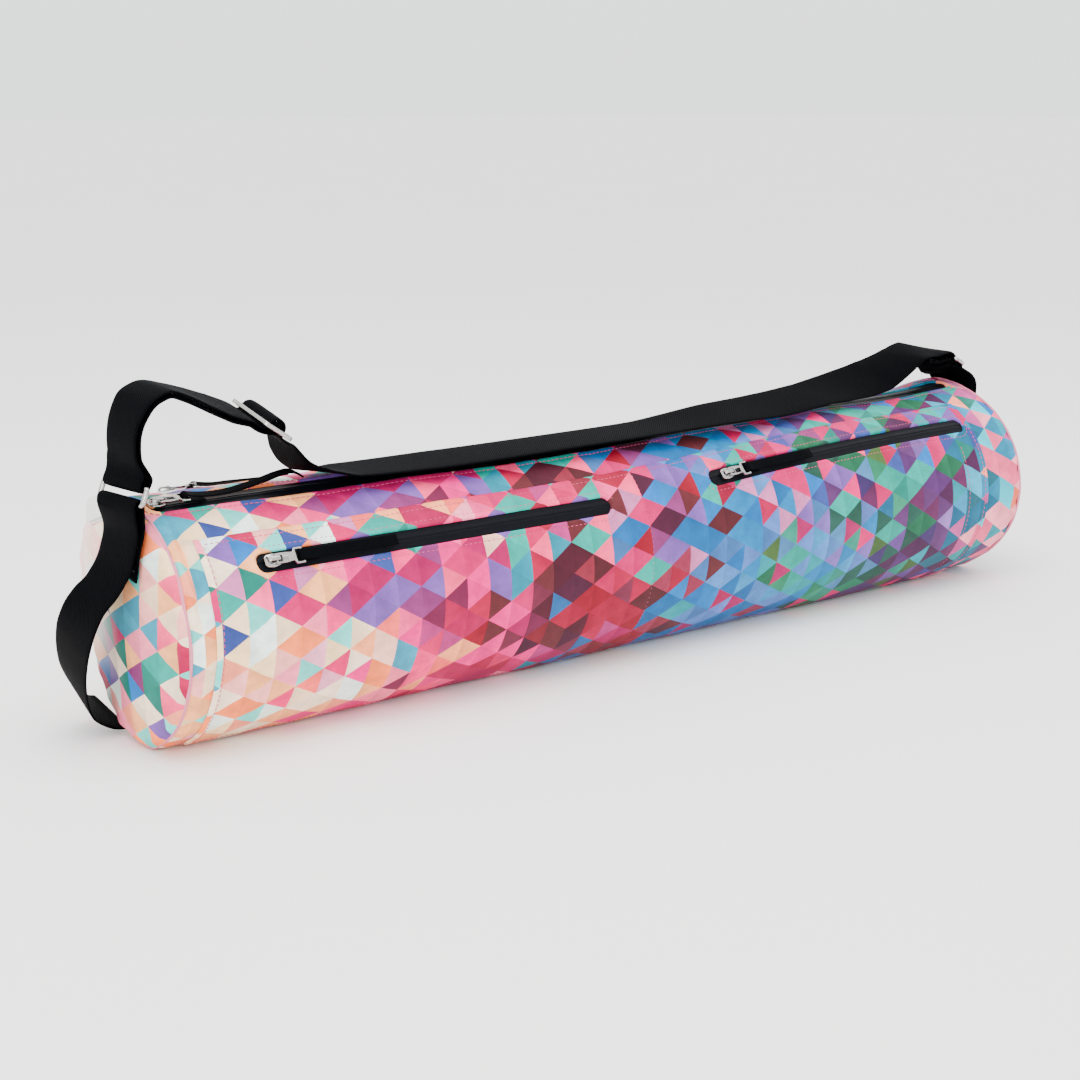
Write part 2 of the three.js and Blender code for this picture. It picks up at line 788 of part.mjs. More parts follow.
function topRow(row) {
  return {
    at: v3(row.along * half, row.across * bodyRadius, bagTop + row.height * riseHeight),
    across: v3(0, Math.cos(rad(row.roll)), Math.sin(rad(row.roll))),
  };
}

// The whole strap in order: the sewn end at the right ring, the run along the top, through
// the adjuster, over the loop, round the left ring and back to the adjuster's middle bar.
function strapRows() {
  const atRight = turnRows(rightRing.upperBar, rightRing.up, rightRing.face, rightRing.bars, 2);
  const atLeft = turnRows(leftRing.upperBar, leftRing.up, leftRing.face.clone().negate(), leftRing.bars, 2);
  const outerLoop = loopRows.map((row) => loopRow(row));
  const innerLoop = loopRows.map((row, place) => loopRow(row, insetAt(place)));
  const fromRight = [...tailRows.map(topRow), ...atRight.reverse()];
  const alongTop = [...topRows].reverse().map(topRow);
  const fall = [...fallRows].reverse().map((row) => loopRow(row));
  return [
    ...fromRight,
    ...alongTop,
    ...fall,
    ...adjuster.run,
    ...outerLoop.reverse(),
    ...atLeft,
    ...innerLoop,
    ...adjuster.sewn,
  ];
}

// The handle across an end. down is a share of the bag's diameter from the ring's side,
// out a share of the bulge, side a share of the radius, and roll turns the webbing.
const handleRows = [
  { down: 0.09, out: 0.36, side: -0.033, roll: -12 },
  { down: 0.163, out: 0.393, side: -0.037, roll: -11 },
  { down: 0.237, out: 0.47, side: -0.027, roll: -9 },
  { down: 0.311, out: 0.64, side: -0.016, roll: -7 },
  { down: 0.371, out: 0.84, side: 0.0, roll: -5 },
  { down: 0.44, out: 0.96, side: 0.027, roll: -2 },
  { down: 0.535, out: 1.0, side: 0.087, roll: 3 },
  { down: 0.63, out: 0.95, side: 0.16, roll: 8 },
  { down: 0.725, out: 0.852, side: 0.219, roll: 12 },
  { down: 0.819, out: 0.69, side: 0.279, roll: 15 },
  { down: 0.895, out: 0.48, side: 0.303, roll: 17 },
];
// The left handle runs in under the seam, and the right one ends flat on its panel.
const leftFoot = [
  { down: 0.94, out: 0.27, side: 0.306, roll: 11 },
  { down: 0.971, out: 0.066, side: 0.311, roll: 5 },
  { down: 0.983, out: -0.13, side: 0.32, roll: 4 },
];
const rightFoot = [
  { down: 0.935, out: 0, side: 0.3, roll: 10 },
  { down: 0.958, out: 0, side: 0.3, roll: 7 },
];
const tailRow = { down: 0.06, out: 0, side: -0.04, roll: -12 };
// At the right both layers pass over the raised rim before they reach the ring.
const innerRim = [
  { down: -0.024, out: 0.23, side: -0.042, roll: -8 },
  { down: -0.07, out: 0.02, side: -0.045, roll: -3 },
];
const outerRim = { down: -0.014, out: 0.36, side: -0.038, roll: -7 };

function handleRow(side, angle, row) {
  const turn = rad(angle);
  const up = v3(0, -Math.sin(turn), Math.cos(turn));
  const far = v3(0, Math.cos(turn), Math.sin(turn));
  const roll = rad(row.roll);
  const across = far.clone().multiplyScalar(Math.cos(roll)).addScaledVector(up, Math.sin(roll));
  const at = v3(side * (half + row.out * handleBulge), 0, axisHeight)
    .addScaledVector(up, bodyRadius * (1 - 2 * row.down))
    .addScaledVector(far, bodyRadius * row.side);
  return { at, across };
}

// A row that lies flat on an end, over whichever part of its width stands out furthest.
function seatedRow(side, angle, row) {
  const seated = handleRow(side, angle, row);
  const reach = [-webWidth / 2, 0, webWidth / 2].map((away) => {
    const place = seated.at.clone().addScaledVector(seated.across, away);
    return side * endFace(side, place.y, place.z);
  });
  seated.at.x = side * (Math.max(...reach) + handlePlay + webThick / 2);
  return seated;
}

function handleGeometry(side, angle, ring, rimRows, outerRows) {
  const tail = handleTail / (2 * bodyRadius);
  const inside = [1, 0.5, 0].map((share) =>
    seatedRow(side, angle, { ...tailRow, down: tailRow.down + tail * share }),
  );
  const inward = v3(-side, 0, 0);
  inward.addScaledVector(ring.bars, -inward.dot(ring.bars)).normalize();
  const turn = turnRows(ring.lowerBar, v3(0, 0, -1), inward, ring.bars, 1.5);
  return webGeometry([...inside, ...rimRows, ...turn, ...outerRows], webWidth, webThick);
}

// The care label: a short white tape folded in the seam behind the left handle. radius is
// a share of the body radius, and off is how far it lies off the end panel.
function labelGeometry() {
  const table = [
    { radius: 0.84, off: 0.8 },
    { radius: 0.95, off: 0.9 },
    { radius: 1.04, off: 1.6 },
    { radius: 1.05, off: 2.9 },
    { radius: 0.96, off: 3.4 },
    { radius: 0.86, off: 2.9 },
  ];
  const turn = rad(labelAngle);
  const across = v3(0, Math.cos(turn), Math.sin(turn));
  const rows = table.map((row) => {
    const reach = row.radius * bodyRadius;
    const at = v3(0, -reach * Math.sin(turn), axisHeight + reach * Math.cos(turn));
    at.x = endFace(-1, at.y, at.z) - row.off;
    return { at, across: across.clone() };
  });
  return webGeometry(rows, labelWidth, labelThick);
}

const looks = {
  print: new THREE.MeshStandardMaterial({ color: 0xd98ab0, roughness: 0.7, metalness: 0 }),
  panel: new THREE.MeshStandardMaterial({ color: 0xe0708f, roughness: 0.7, metalness: 0 }),
  ends: new THREE.MeshStandardMaterial({ color: 0xf0d9d4, roughness: 0.7, metalness: 0 }),
  tape: new THREE.MeshStandardMaterial({ color: 0x1c1e27, roughness: 0.5, metalness: 0 }),
  webbing: new THREE.MeshStandardMaterial({ color: 0x15171c, roughness: 0.8, metalness: 0 }),
  nickel: new THREE.MeshStandardMaterial({ color: 0xd8d6d2, roughness: 0.2, metalness: 1 }),
  label: new THREE.MeshStandardMaterial({ color: 0xf2f1ee, roughness: 0.8, metalness: 0 }),
};

const bag = new THREE.Group();

function add(name, geometry, material, parent = bag) {
  const mesh = new THREE.Mesh(geometry, material);
  mesh.name = name;
  parent.add(mesh);
  return mesh;
}

// Cloth
const zipsInBody = [mainZip, backZip];
const zipsInPatch = [leftZip, rightZip];
const cutFor = (geometry, zips) =>
  geometryFrom(zips.reduce((solid, zip) => solid.subtract(windowCutter(zip)), solidOf(geometry)));
add("body_panel", cutFor(tubeGeometry(), zipsInBody), looks.print);
add("front_pocket_panel", cutFor(patchGeometry(), zipsInPatch), looks.panel);
add("end_panel_left", endGeometry(-1), looks.ends);
add("end_panel_right", endGeometry(1), looks.ends);

// Zips with their sliders, tabs and doubled tapes. in is how far a slider sits from the
// left end of its zip.
const zipSets = [
  { zip: mainZip, tape: "main_zip", place: "main", in: 6 },
  { zip: leftZip, tape: "pocket_zip_left", place: "left", in: 9.5 },
  { zip: rightZip, tape: "pocket_zip_right", place: "right", in: 14.5 },
  { zip: backZip, tape: "back_zip", place: "back", in: 10 },
];
for (const set of zipSets) {
  add(set.tape, tapeGeometry(set.zip), looks.tape);
  const at = set.zip.left + set.in;
  const angle = set.zip.angle + twistAt(at);
  const seat = new THREE.Group();
  const lift = tapeTop(set.zip) + coilHeight + sliderSeatGap;
  seat.position.copy(bagPoint(at, angle, lift));
  const drift = rad(twistAt(at) - twistAt(at + tabLength)) * bodyRadius;
  seat.rotation.set(rad(angle), 0, Math.atan2(drift, tabLength));
  bag.add(seat);
  add(`slider_${set.place}`, sliderGeometry(), looks.nickel, seat);
  add(`tab_${set.place}`, tabGeometry(), looks.nickel, seat);
  const long = set.zip === mainZip;
  const rows = long
    ? pullRows(set.zip, at, mainPullLength, mainPullRise, bowedPull)
    : pullRows(set.zip, at, pocketPullLength, pullThick, restingPull);
  add(`pull_${set.place}`, webGeometry(rows, pullWidth, pullThick, 1), looks.tape);
}

// Rings, adjuster and webbing
function addRing(name, ring) {
  const frame = new THREE.Matrix4().makeBasis(ring.face, ring.bars, ring.up).setPosition(ring.middle);
  const seat = new THREE.Group();
  frame.decompose(seat.position, seat.quaternion, seat.scale);
  bag.add(seat);
  add(name, wireRing(webWidth + ringSidePlay * 2, ringInnerHeight, wireRadius), looks.nickel, seat);
}
addRing("ring_left", leftRing);
addRing("ring_right", rightRing);

const adjusterSeat = new THREE.Group();
const adjusterFrame = new THREE.Matrix4().makeBasis(adjuster.along, adjuster.across, adjuster.over);
adjusterFrame.setPosition(adjuster.middle);
adjusterFrame.decompose(adjusterSeat.position, adjusterSeat.quaternion, adjusterSeat.scale);
bag.add(adjusterSeat);
add("strap_adjuster", adjusterGeometry(), looks.nickel, adjusterSeat);

add("shoulder_strap", webGeometry(strapRows(), webWidth, webThick), looks.webbing);
const leftRows = [...handleRows, ...leftFoot].map((row) => handleRow(-1, loopAngle, row));
const rightRim = innerRim.map((row) => handleRow(1, riseAngle, row));
const rightRows = [outerRim, ...handleRows].map((row) => handleRow(1, riseAngle, row));
const rightEnd = rightFoot.map((row) => seatedRow(1, riseAngle, row));
add("end_handle_left", handleGeometry(-1, loopAngle, leftRing, [], leftRows), looks.webbing);
add(
  "end_handle_right",
  handleGeometry(1, riseAngle, rightRing, rightRim, [...rightRows, ...rightEnd]),
  looks.webbing,
);
add("care_label", labelGeometry(), looks.label);

export default bag;
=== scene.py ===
# %% [markdown]
# # Yoga mat bag
# A long cloth tube for a rolled yoga mat, in a watercolour triangle print, with a black zip
# along its top, a pocket panel on its front and black webbing for its strap and handles.
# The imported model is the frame. Each soft piece is built again here with finer cloth, on
# the same sizes, and the metal pieces keep their solids and get better materials.

# %% The frame
import math
from functools import partial

import bpy
import numpy as np
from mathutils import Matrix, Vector


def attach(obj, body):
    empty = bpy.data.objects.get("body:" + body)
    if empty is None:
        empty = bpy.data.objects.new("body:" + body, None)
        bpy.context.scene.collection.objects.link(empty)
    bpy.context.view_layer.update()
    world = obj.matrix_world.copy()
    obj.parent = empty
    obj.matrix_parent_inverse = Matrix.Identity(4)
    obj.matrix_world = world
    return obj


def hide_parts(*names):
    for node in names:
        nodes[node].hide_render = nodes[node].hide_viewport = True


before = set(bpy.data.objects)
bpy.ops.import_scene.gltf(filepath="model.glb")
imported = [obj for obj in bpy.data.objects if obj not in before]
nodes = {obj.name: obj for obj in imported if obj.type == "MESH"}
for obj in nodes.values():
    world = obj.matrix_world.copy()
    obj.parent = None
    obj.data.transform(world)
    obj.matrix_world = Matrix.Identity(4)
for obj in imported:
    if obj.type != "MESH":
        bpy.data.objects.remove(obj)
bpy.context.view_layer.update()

scene = bpy.context.scene
print("nodes:", len(nodes))

# %% [markdown]
# ## Camera
# The bag is seen from its left and a little above, with a lens that is long enough to keep
# the far end from shrinking too much. The place and the angle were solved from the bag's
# own outline, so the picture can be laid over a photograph of it.

# %% Camera
view_azimuth = math.radians(-39.1)
view_elevation = math.radians(12.65)
view_distance = 1.261
view_target = Vector((-0.0565, 0.0, 0.0755))
sensor = 36.0
field_of_view = math.radians(31.0)

camera_data = bpy.data.cameras.new("camera")
camera_data.sensor_width = sensor
camera_data.lens = sensor / (2 * math.tan(field_of_view / 2))
camera = bpy.data.objects.new("camera", camera_data)
scene.collection.objects.link(camera)
away = Vector((
    math.cos(view_elevation) * math.sin(view_azimuth),
    -math.cos(view_elevation) * math.cos(view_azimuth),
    math.sin(view_elevation),
))
camera.location = view_target + away * view_distance
camera.rotation_euler = away.to_track_quat("Z", "Y").to_euler()
scene.camera = camera
print("camera:", [round(c, 3) for c in camera.location], "lens", round(camera_data.lens, 1))

# %% [markdown]
# ## Colours and nodes
# Colours are written as the hex values that a paint chart would give, and one function
# turns them into the linear values that the renderer works in. Another small function adds
# one node with its settings and its links, so that each material reads from top to bottom.
# In a material it is called add, because it then knows the material's tree already.

# %% Colour and node helpers
def linear(code):
    """A #rrggbb colour in linear light, with its alpha."""
    parts = [int(code[i:i + 2], 16) / 255 for i in (1, 3, 5)]
    return [p / 12.92 if p <= 0.04045 else ((p + 0.055) / 1.055) ** 2.4 for p in parts] + [1.0]


def in_use(sockets):
    """The sockets that a node's settings leave switched on."""
    return [socket for socket in sockets if socket.enabled]


def add_node(tree, kind, settings=None):
    """A node with its settings, and with values or links in its inputs, by name or by number.

    A node that is given for an input stands for its first output in use.
    """
    node = tree.nodes.new("ShaderNode" + kind)
    for key, value in (settings or {}).items():
        if isinstance(key, str) and hasattr(node, key):
            setattr(node, key, value)
            continue
        inputs = in_use(node.inputs)
        socket = inputs[key] if isinstance(key, int) else next(i for i in inputs if i.name == key)
        if isinstance(value, bpy.types.Node):
            value = in_use(value.outputs)[0]
        if isinstance(value, bpy.types.NodeSocket):
            tree.links.new(value, socket)
        else:
            socket.default_value = value
    return node


def new_material(name):
    """An empty node material, and add_node with the material's own tree filled in."""
    material = bpy.data.materials.new(name)
    material.use_nodes = True
    material.node_tree.nodes.clear()
    return material, partial(add_node, material.node_tree)


def finish_material(add, settings):
    """Makes the shader from its settings and links it to the material's output."""
    add("OutputMaterial", {"Surface": add("BsdfPrincipled", settings)})


# %% [markdown]
# ## Printed polyester
# The cloth is coated polyester with a heat-transfer print, so the surface is matt with a
# faint sheen and a fine leather-like grain. The print is a lattice of equilateral
# triangles, 18.8 mm to a side, with one family of edges running round the bag. A
# triangle's colour comes from a palette that changes along the bag, and each one is washed
# unevenly like watercolour. Some neighbours share a colour and read as one diamond. The
# nodes find which triangle a point lies in, and seeded noise picks its colour. The film curve
# of the picture pales strong colours, so these dyes are deeper than they look in the render.

# %% The palettes of the print, from the left end to the right end
triangle_side = 18.8
column_width = triangle_side * math.sqrt(3) / 2
bag_length = 700.0
half = bag_length / 2
print_zones = [
    (0.0, "#ffe5c7 #ffa96e #ff7d45 #ff7f9c #2f93ae #eefff5 #ffa5a0 #5fd3c8 #ff8f70 #ffdab3 #f09ab8 #ffd8a3"),
    (0.14, "#ff7293 #ef077e #ff9a69 #ff2d78 #ffbfab #ff8aa6 #fc5d57 #ff4f86 #e00362 #ef1268"),
    (0.25, "#a80349 #a20351 #ef077e #d00c58 #b02f74 #cb0865 #088096 #6a1a3d #ff4487 #9a0339"),
    (0.37, "#870321 #4c1920 #98032f #42122a #721624 #6b2239 #592026 #ac033b #205e99 #441121 #802133"),
    (0.485, "#035c9c #035b96 #4a7fc0 #88032d #036db0 #5c73c0 #15558e #a3034b #8a2540 #35639c"),
    (0.6, "#0370a8 #4f74b8 #038d95 #4573b0 #7458a6 #a51058 #36689a #2f86ba #047e80 #4f6aab"),
    (0.7, "#165b3e #1b4437 #039180 #1f7f6c #1d7553 #2a8a6a #214e42 #e20a6d #3f74a0 #3e5a2c"),
    (0.81, "#4f265e #42163d #562c5f #3c408a #5f3b81 #392555 #561f47 #0f587b #6c4e8f"),
    (0.905, "#035d7c #036a87 #038b9a #55528c #8c65ae #2f9fc0 #1a5b6d #1f86b0 #08898d"),
    (0.97, "#ff90a3 #ec577f #16bacd #037495 #ff8d74 #bc4a8b #0395ac #f5674a"),
]
top_palette = ("#049b8c #c8095e #724d9d #b20346 #036ab7 #c76ea2 #037364 #803068 #fd4377 #33458a")
zone_drift, zone_scatter = 0.10, 0.075
share_of_diamonds = 0.30
top_from, top_to, top_share = 62.0, 14.0, 0.5
drift_size, bloom_size, fibre_size = 95.0, 9.0, 1.1
grain_size = 0.0008
pair_seed, drift_seed = 31.5, 3.0
print("palettes:", len(print_zones), "columns:", round(bag_length / column_width))

# %% Printed polyester
def palette_ramp(add, colours, pick):
    """A ramp that turns a random pick from 0 to 1 into one of the colours."""
    codes = colours.split()
    ramp = add("ValToRGB", {"Fac": pick})
    ramp.color_ramp.interpolation = "CONSTANT"
    elements = ramp.color_ramp.elements
    while len(elements) < len(codes):
        elements.new(0.5)
    for place, code in enumerate(codes):
        elements[place].position = place / len(codes)
        elements[place].color = linear(code)
    return ramp


def printed_polyester(name):
    """Coated polyester cloth with the triangle print."""
    material, add = new_material(name)
    cloth = add("Attribute", {"attribute_name": "cloth"}).outputs["Vector"]
    part = add("SeparateXYZ", {0: cloth}).outputs
    # Where the point lies in the slanted lattice, in whole cells and in shares of a cell.
    column = add("Math", {"operation": "DIVIDE", 0: part["X"], 1: column_width})
    side = add("Math", {"operation": "DIVIDE", 0: part["Y"], 1: triangle_side})
    slant = add("Math", {"operation": "MULTIPLY_ADD", 0: column, 1: -0.5, 2: side})
    cell_a, cell_b = [add("Math", {"operation": "FLOOR", 0: way}) for way in (column, slant)]
    part_a, part_b = [add("Math", {"operation": "FRACT", 0: way}) for way in (column, slant)]
    both = add("Math", {"operation": "ADD", 0: part_a, 1: part_b})
    upper = add("Math", {"operation": "GREATER_THAN", 0: both, 1: 1.0})
    # Each triangle has one edge that runs round the bag. Two that share it can be a diamond.
    edge_a = add("Math", {"operation": "ADD", 0: cell_a, 1: upper})
    edge = add("CombineXYZ", {"X": edge_a, "Y": cell_b, "Z": pair_seed})
    half_seed = add("Math", {"operation": "MULTIPLY_ADD", 0: upper, 1: 5.0, 2: 2.5})
    triangle = add("CombineXYZ", {"X": cell_a, "Y": cell_b, "Z": half_seed})
    luck = add("TexWhiteNoise", {"noise_dimensions": "3D", "Vector": edge})
    joined = add("Math", {"operation": "LESS_THAN", 0: luck, 1: share_of_diamonds})
    which = add("Mix", {"data_type": "VECTOR", 0: joined, 1: triangle, 2: edge})
    pick = add("TexWhiteNoise", {"noise_dimensions": "3D", "Vector": which})
    chance = add("SeparateColor", {0: pick.outputs["Color"]}).outputs
    # The triangle's place along the bag, moved a little by slow drift and by chance.
    centre_u = add("Math", {"operation": "MULTIPLY", 0: edge_a, 1: column_width})
    centre_b = add("Math", {"operation": "MULTIPLY_ADD", 0: edge_a, 1: 0.5, 2: cell_b})
    centre_v = add("Math", {"operation": "MULTIPLY", 0: centre_b, 1: triangle_side})
    centre = add("CombineXYZ", {"X": centre_u, "Y": centre_v, "Z": drift_seed})
    drift = add("TexNoise", {"Scale": 1 / drift_size, "Detail": 1.0, "Vector": centre})
    place = add("MapRange", {"clamp": False, "Value": centre_u, "From Min": -half, "From Max": half})
    drifted = add("Math", {"operation": "MULTIPLY_ADD", 0: drift, 1: zone_drift * 4, 2: place})
    moved = add("Math", {"operation": "MULTIPLY_ADD", 0: chance["Green"], 1: zone_scatter * 2, 2: drifted})
    zone = add("Math", {"operation": "SUBTRACT", 0: moved, 1: zone_drift * 2 + zone_scatter})
    colour = palette_ramp(add, print_zones[0][1], chance["Red"])
    for start, colours in print_zones[1:]:
        past = add("Math", {"operation": "GREATER_THAN", 0: zone, 1: start})
        next_colour = palette_ramp(add, colours, chance["Red"])
        colour = add("Mix", {"data_type": "RGBA", 0: past, 1: colour, 2: next_colour})
    # Towards the zip the print takes more of its colours from the palette of the top.
    off_top = add("Math", {"operation": "ABSOLUTE", 0: centre_v})
    top = add("MapRange", {"Value": off_top, "From Min": top_from, "From Max": top_to, "To Max": top_share})
    on_top = add("Math", {"operation": "GREATER_THAN", 0: top, 1: chance["Blue"]})
    top_colour = palette_ramp(add, top_palette, chance["Red"])
    colour = add("Mix", {"data_type": "RGBA", 0: on_top, 1: colour, 2: top_colour})
    # Watercolour: a wash across each triangle, soft blooms over it and a fibre mottle.
    lean = add("Mix", {"data_type": "FLOAT", 0: chance["Green"], 1: part_a, 2: part_b})
    wash = add("MapRange", {"Value": lean, "To Min": 0.76, "To Max": 1.06})
    bloom = add("TexNoise", {"Scale": 1 / bloom_size, "Detail": 4.0, "Roughness": 0.6, "Vector": cloth})
    blooms = add("MapRange", {"Value": bloom, "From Min": 0.3, "From Max": 0.7,
                              "To Min": 0.84, "To Max": 1.14})
    fibre = add("TexNoise", {"Scale": 1 / fibre_size, "Detail": 2.0, "Vector": cloth})
    fibres = add("MapRange", {"Value": fibre, "To Min": 0.9, "To Max": 1.1})
    washed = add("Math", {"operation": "MULTIPLY", 0: wash, 1: blooms})
    value = add("Math", {"operation": "MULTIPLY", 0: washed, 1: fibres})
    painted = add("HueSaturation", {"Color": colour, "Value": value})
    faded = add("Mix", {"data_type": "RGBA", 0: part["Z"], 1: painted, 2: linear("#f6e4e0")})
    # The grain that was pressed into the coating.
    where = add("TexCoord").outputs["Object"]
    cells = add("TexVoronoi", {"feature": "SMOOTH_F1", "Scale": 1 / grain_size, "Vector": where})
    finish_material(add, {
        "Sheen Weight": 0.03, "Sheen Roughness": 0.4, "Specular IOR Level": 0.14, "Base Color": faded,
        "Roughness": add("MapRange", {"Value": cells, "To Min": 0.5, "To Max": 0.68}),
        "Normal": add("Bump", {"Strength": 0.35, "Distance": 0.00012, "Height": cells}),
    })
    return material


print_cloth = printed_polyester("printed_polyester")
print("material:", print_cloth.name, "nodes:", len(print_cloth.node_tree.nodes))

# %% [markdown]
# ## Webbing, zip tape and thread
# The strap and the handles are 38 mm polypropylene webbing in a diagonal twill: black, dry
# and slightly ribbed, with a soft shine on its raised yarns. The zips are coil zips whose
# tape carries a smooth water-repellent film, so they shine more than the cloth. The pulls
# are grosgrain ribbon, ribbed across. The yarns are drawn a little coarser than the real
# ones, which would be too fine to show.

# %% Polypropylene webbing
twill_pitch, yarn_pitch, fluff_size = 1.9, 0.95, 2.4


def woven_tape(name, colour, light, pitch, slope, rough, depth):
    """Woven tape whose ribs run at a slope, with a painted sheen on its raised yarns. slope 0 makes ribs
    straight across.
    """
    material, add = new_material(name)
    tape = add("Attribute", {"attribute_name": "tape"}).outputs["Vector"]
    part = add("SeparateXYZ", {0: tape}).outputs
    along = add("Math", {"operation": "DIVIDE", 0: part["X"], 1: pitch})
    leaning = add("Math", {"operation": "MULTIPLY_ADD", 0: part["Y"], 1: slope / pitch, 2: along})
    turn = add("Math", {"operation": "MULTIPLY", 0: leaning, 1: 2 * math.pi})
    rib = add("Math", {"operation": "SINE", 0: turn})
    yarn_turn = add("Math", {"operation": "MULTIPLY", 0: part["Y"], 1: 2 * math.pi / yarn_pitch})
    yarn = add("Math", {"operation": "SINE", 0: yarn_turn})
    weave = add("Math", {"operation": "MULTIPLY_ADD", 0: yarn, 1: 0.35, 2: rib})
    height = add("MapRange", {"Value": weave, "From Min": -1.35, "From Max": 1.35})
    fluff = add("TexNoise", {"Scale": 1 / fluff_size, "Detail": 3.0, "Vector": tape})
    uneven = add("Math", {"operation": "MULTIPLY", 0: height, 1: fluff})
    # The raised yarns are painted a lighter colour, unevenly with the fluff: a painted sheen.
    raised_sheen = add("MapRange", {"Value": uneven, "From Max": 0.7})
    finish_material(add, {
        "Specular IOR Level": 0.01,
        "Base Color": add("Mix", {"data_type": "RGBA", 0: raised_sheen, 1: linear(colour), 2: linear(light)}),
        "Roughness": add("MapRange", {"Value": height, "To Min": rough + 0.1, "To Max": rough - 0.1}),
        "Normal": add("Bump", {"Strength": 0.7, "Distance": depth, "Height": height}),
    })
    return material


webbing_twill = woven_tape("polypropylene_webbing", "#020203", "#08090c", twill_pitch, 1.0, 0.62, 0.0002)
ribbon_grosgrain = woven_tape("grosgrain_ribbon", "#030304", "#0a0b0f", 1.1, 0.0, 0.55, 0.00012)
seam_binding = woven_tape("seam_binding", "#c9637f", "#e59aae", 0.8, 0.6, 0.6, 0.00008)
label_satin = woven_tape("satin_label", "#d9d7d3", "#f4f3f0", 0.9, 0.3, 0.5, 0.00005)
print("woven:", webbing_twill.name, ribbon_grosgrain.name, seam_binding.name, label_satin.name)

# %% Coated zip tape and sewing thread
film_wave, dust_size, thread_twist = 0.006, 0.0012, 0.0005


def coated_tape(name, colour, light):
    """Polyester zip tape under a smooth film, a little wavy and with faint dust."""
    material, add = new_material(name)
    where = add("TexCoord").outputs["Object"]
    wave = add("TexNoise", {"Scale": 1 / film_wave, "Detail": 2.0, "Vector": where})
    dust = add("TexNoise", {"Scale": 1 / dust_size, "Detail": 3.0, "Vector": where})
    finish_material(add, {
        "Specular IOR Level": 0.05,
        "Base Color": add("Mix", {"data_type": "RGBA", 0: dust, 1: linear(colour), 2: linear(light)}),
        "Roughness": add("MapRange", {"Value": dust, "To Min": 0.3, "To Max": 0.5}),
        "Normal": add("Bump", {"Strength": 0.4, "Distance": 0.0004, "Height": wave}),
    })
    return material


def sewing_thread(name, colour, light):
    """Spun polyester thread, twisted, so it is matt with small highlights."""
    material, add = new_material(name)
    where = add("TexCoord").outputs["Object"]
    twist = add("TexNoise", {"Scale": 1 / thread_twist, "Detail": 2.0, "Vector": where})
    finish_material(add, {
        "Roughness": 0.6, "Sheen Weight": 0.2,
        "Base Color": add("Mix", {"data_type": "RGBA", 0: twist, 1: linear(colour), 2: linear(light)}),
        "Normal": add("Bump", {"Strength": 0.5, "Distance": 0.0001, "Height": twist}),
    })
    return material


zip_film = coated_tape("coated_zip_tape", "#050609", "#0e1016")
pink_thread = sewing_thread("pink_thread", "#a8124a", "#d23f74")
black_thread = sewing_thread("black_thread", "#111217", "#2a2c33")
white_thread = sewing_thread("white_thread", "#d5d5d6", "#f4f4f4")
print("tape and threads:", zip_film.name, pink_thread.name, black_thread.name, white_thread.name)

# %% [markdown]
# ## Nickel plate
# Rings, adjuster, sliders and tabs are die-cast zinc or steel wire under bright nickel. The
# plate is almost a mirror, faintly warm, with hairline scratches that change how sharply it
# shines. The same noise also swings its colour between dark and bright nickel: painted reflections.

# %% Nickel plate
scratch_and_reflection_size = 0.0015


def nickel_plate(name, colour, light, rough):
    """Polished nickel plate with faint scratches, and painted dark and bright reflections in its colour."""
    material, add = new_material(name)
    where = add("TexCoord").outputs["Object"]
    scratches_and_reflections = add("TexNoise", {"Scale": 1 / scratch_and_reflection_size, "Detail": 5.0, "Distortion": 1.5, "Vector": where})
    # The noise paints dark and bright patches into the base colour as painted reflections, and gives the
    # scratches their roughness and bump.
    finish_material(add, {
        "Metallic": 1.0,
        "Base Color": add("Mix", {"data_type": "RGBA", 0: scratches_and_reflections, 1: linear(colour), 2: linear(light)}),
        "Roughness": add("MapRange", {"Value": scratches_and_reflections, "To Min": rough - 0.06, "To Max": rough + 0.08}),
        "Normal": add("Bump", {"Strength": 0.15, "Distance": 0.00005, "Height": scratches_and_reflections}),
    })
    return material


bright_nickel = nickel_plate("bright_nickel", "#7c7b7a", "#c4c2be", 0.14)
print("material:", bright_nickel.name)

# %% [markdown]
# ## The shape of the cloth
# Every cloth piece lies on one surface: a tube with shallow dents, a flat underside and a
# slight twist towards the right end. These few functions give a point on it. Lengths are
# in millimetres and angles go round the bag in degrees, from its top towards its front.

# %% The tube's surface
body_radius = 70.2
floor_sink = 0.8
axis_height = body_radius - floor_sink
bag_top = axis_height + body_radius
body_dents = [
    # share of half the length, angle, depth and reach as shares of the radius, spread
    (0, 165, -0.028, 12, 10),
    (0, -165, -0.028, 12, 10),
    (-1, -104, 0.11, 0.8, 46),
    (-1, -163, 0.05, 0.45, 30),
    (-1, 72, 0.03, 0.2, 12),
    (-0.93, 112, 0.018, 0.24, 20),
    (-0.62, -35, 0.02, 0.9, 18),
    (-0.1, -75, 0.03, 1.6, 30),
    (0.45, -110, 0.03, 1.1, 34),
    (0.72, 20, 0.02, 0.5, 14),
    (1, 150, 0.03, 0.35, 30),
    (1, -95, 0.06, 0.6, 45),
    (1, -20, -0.1, 0.6, 26),
]
seam_pulls = [(-1, -112, 0.11, 0.75, 60)]
end_twist = 12.5
twist_start = -39.9
twist_length = 360.0


def smooth_step(value, low, high):
    share = np.clip((value - low) / (high - low), 0, 1)
    return share * share * (3 - 2 * share)


def between(value, rise, fall):
    """1 between a rise and a fall, and 0 outside them."""
    return smooth_step(value, *rise) * (1 - smooth_step(value, *fall))


def mound(value, middle, width):
    """A smooth hump that is 1 at its middle."""
    return np.exp(-((value - middle) / width) ** 2)


def angle_apart(a, b):
    return np.abs((a - b + 540) % 360 - 180)


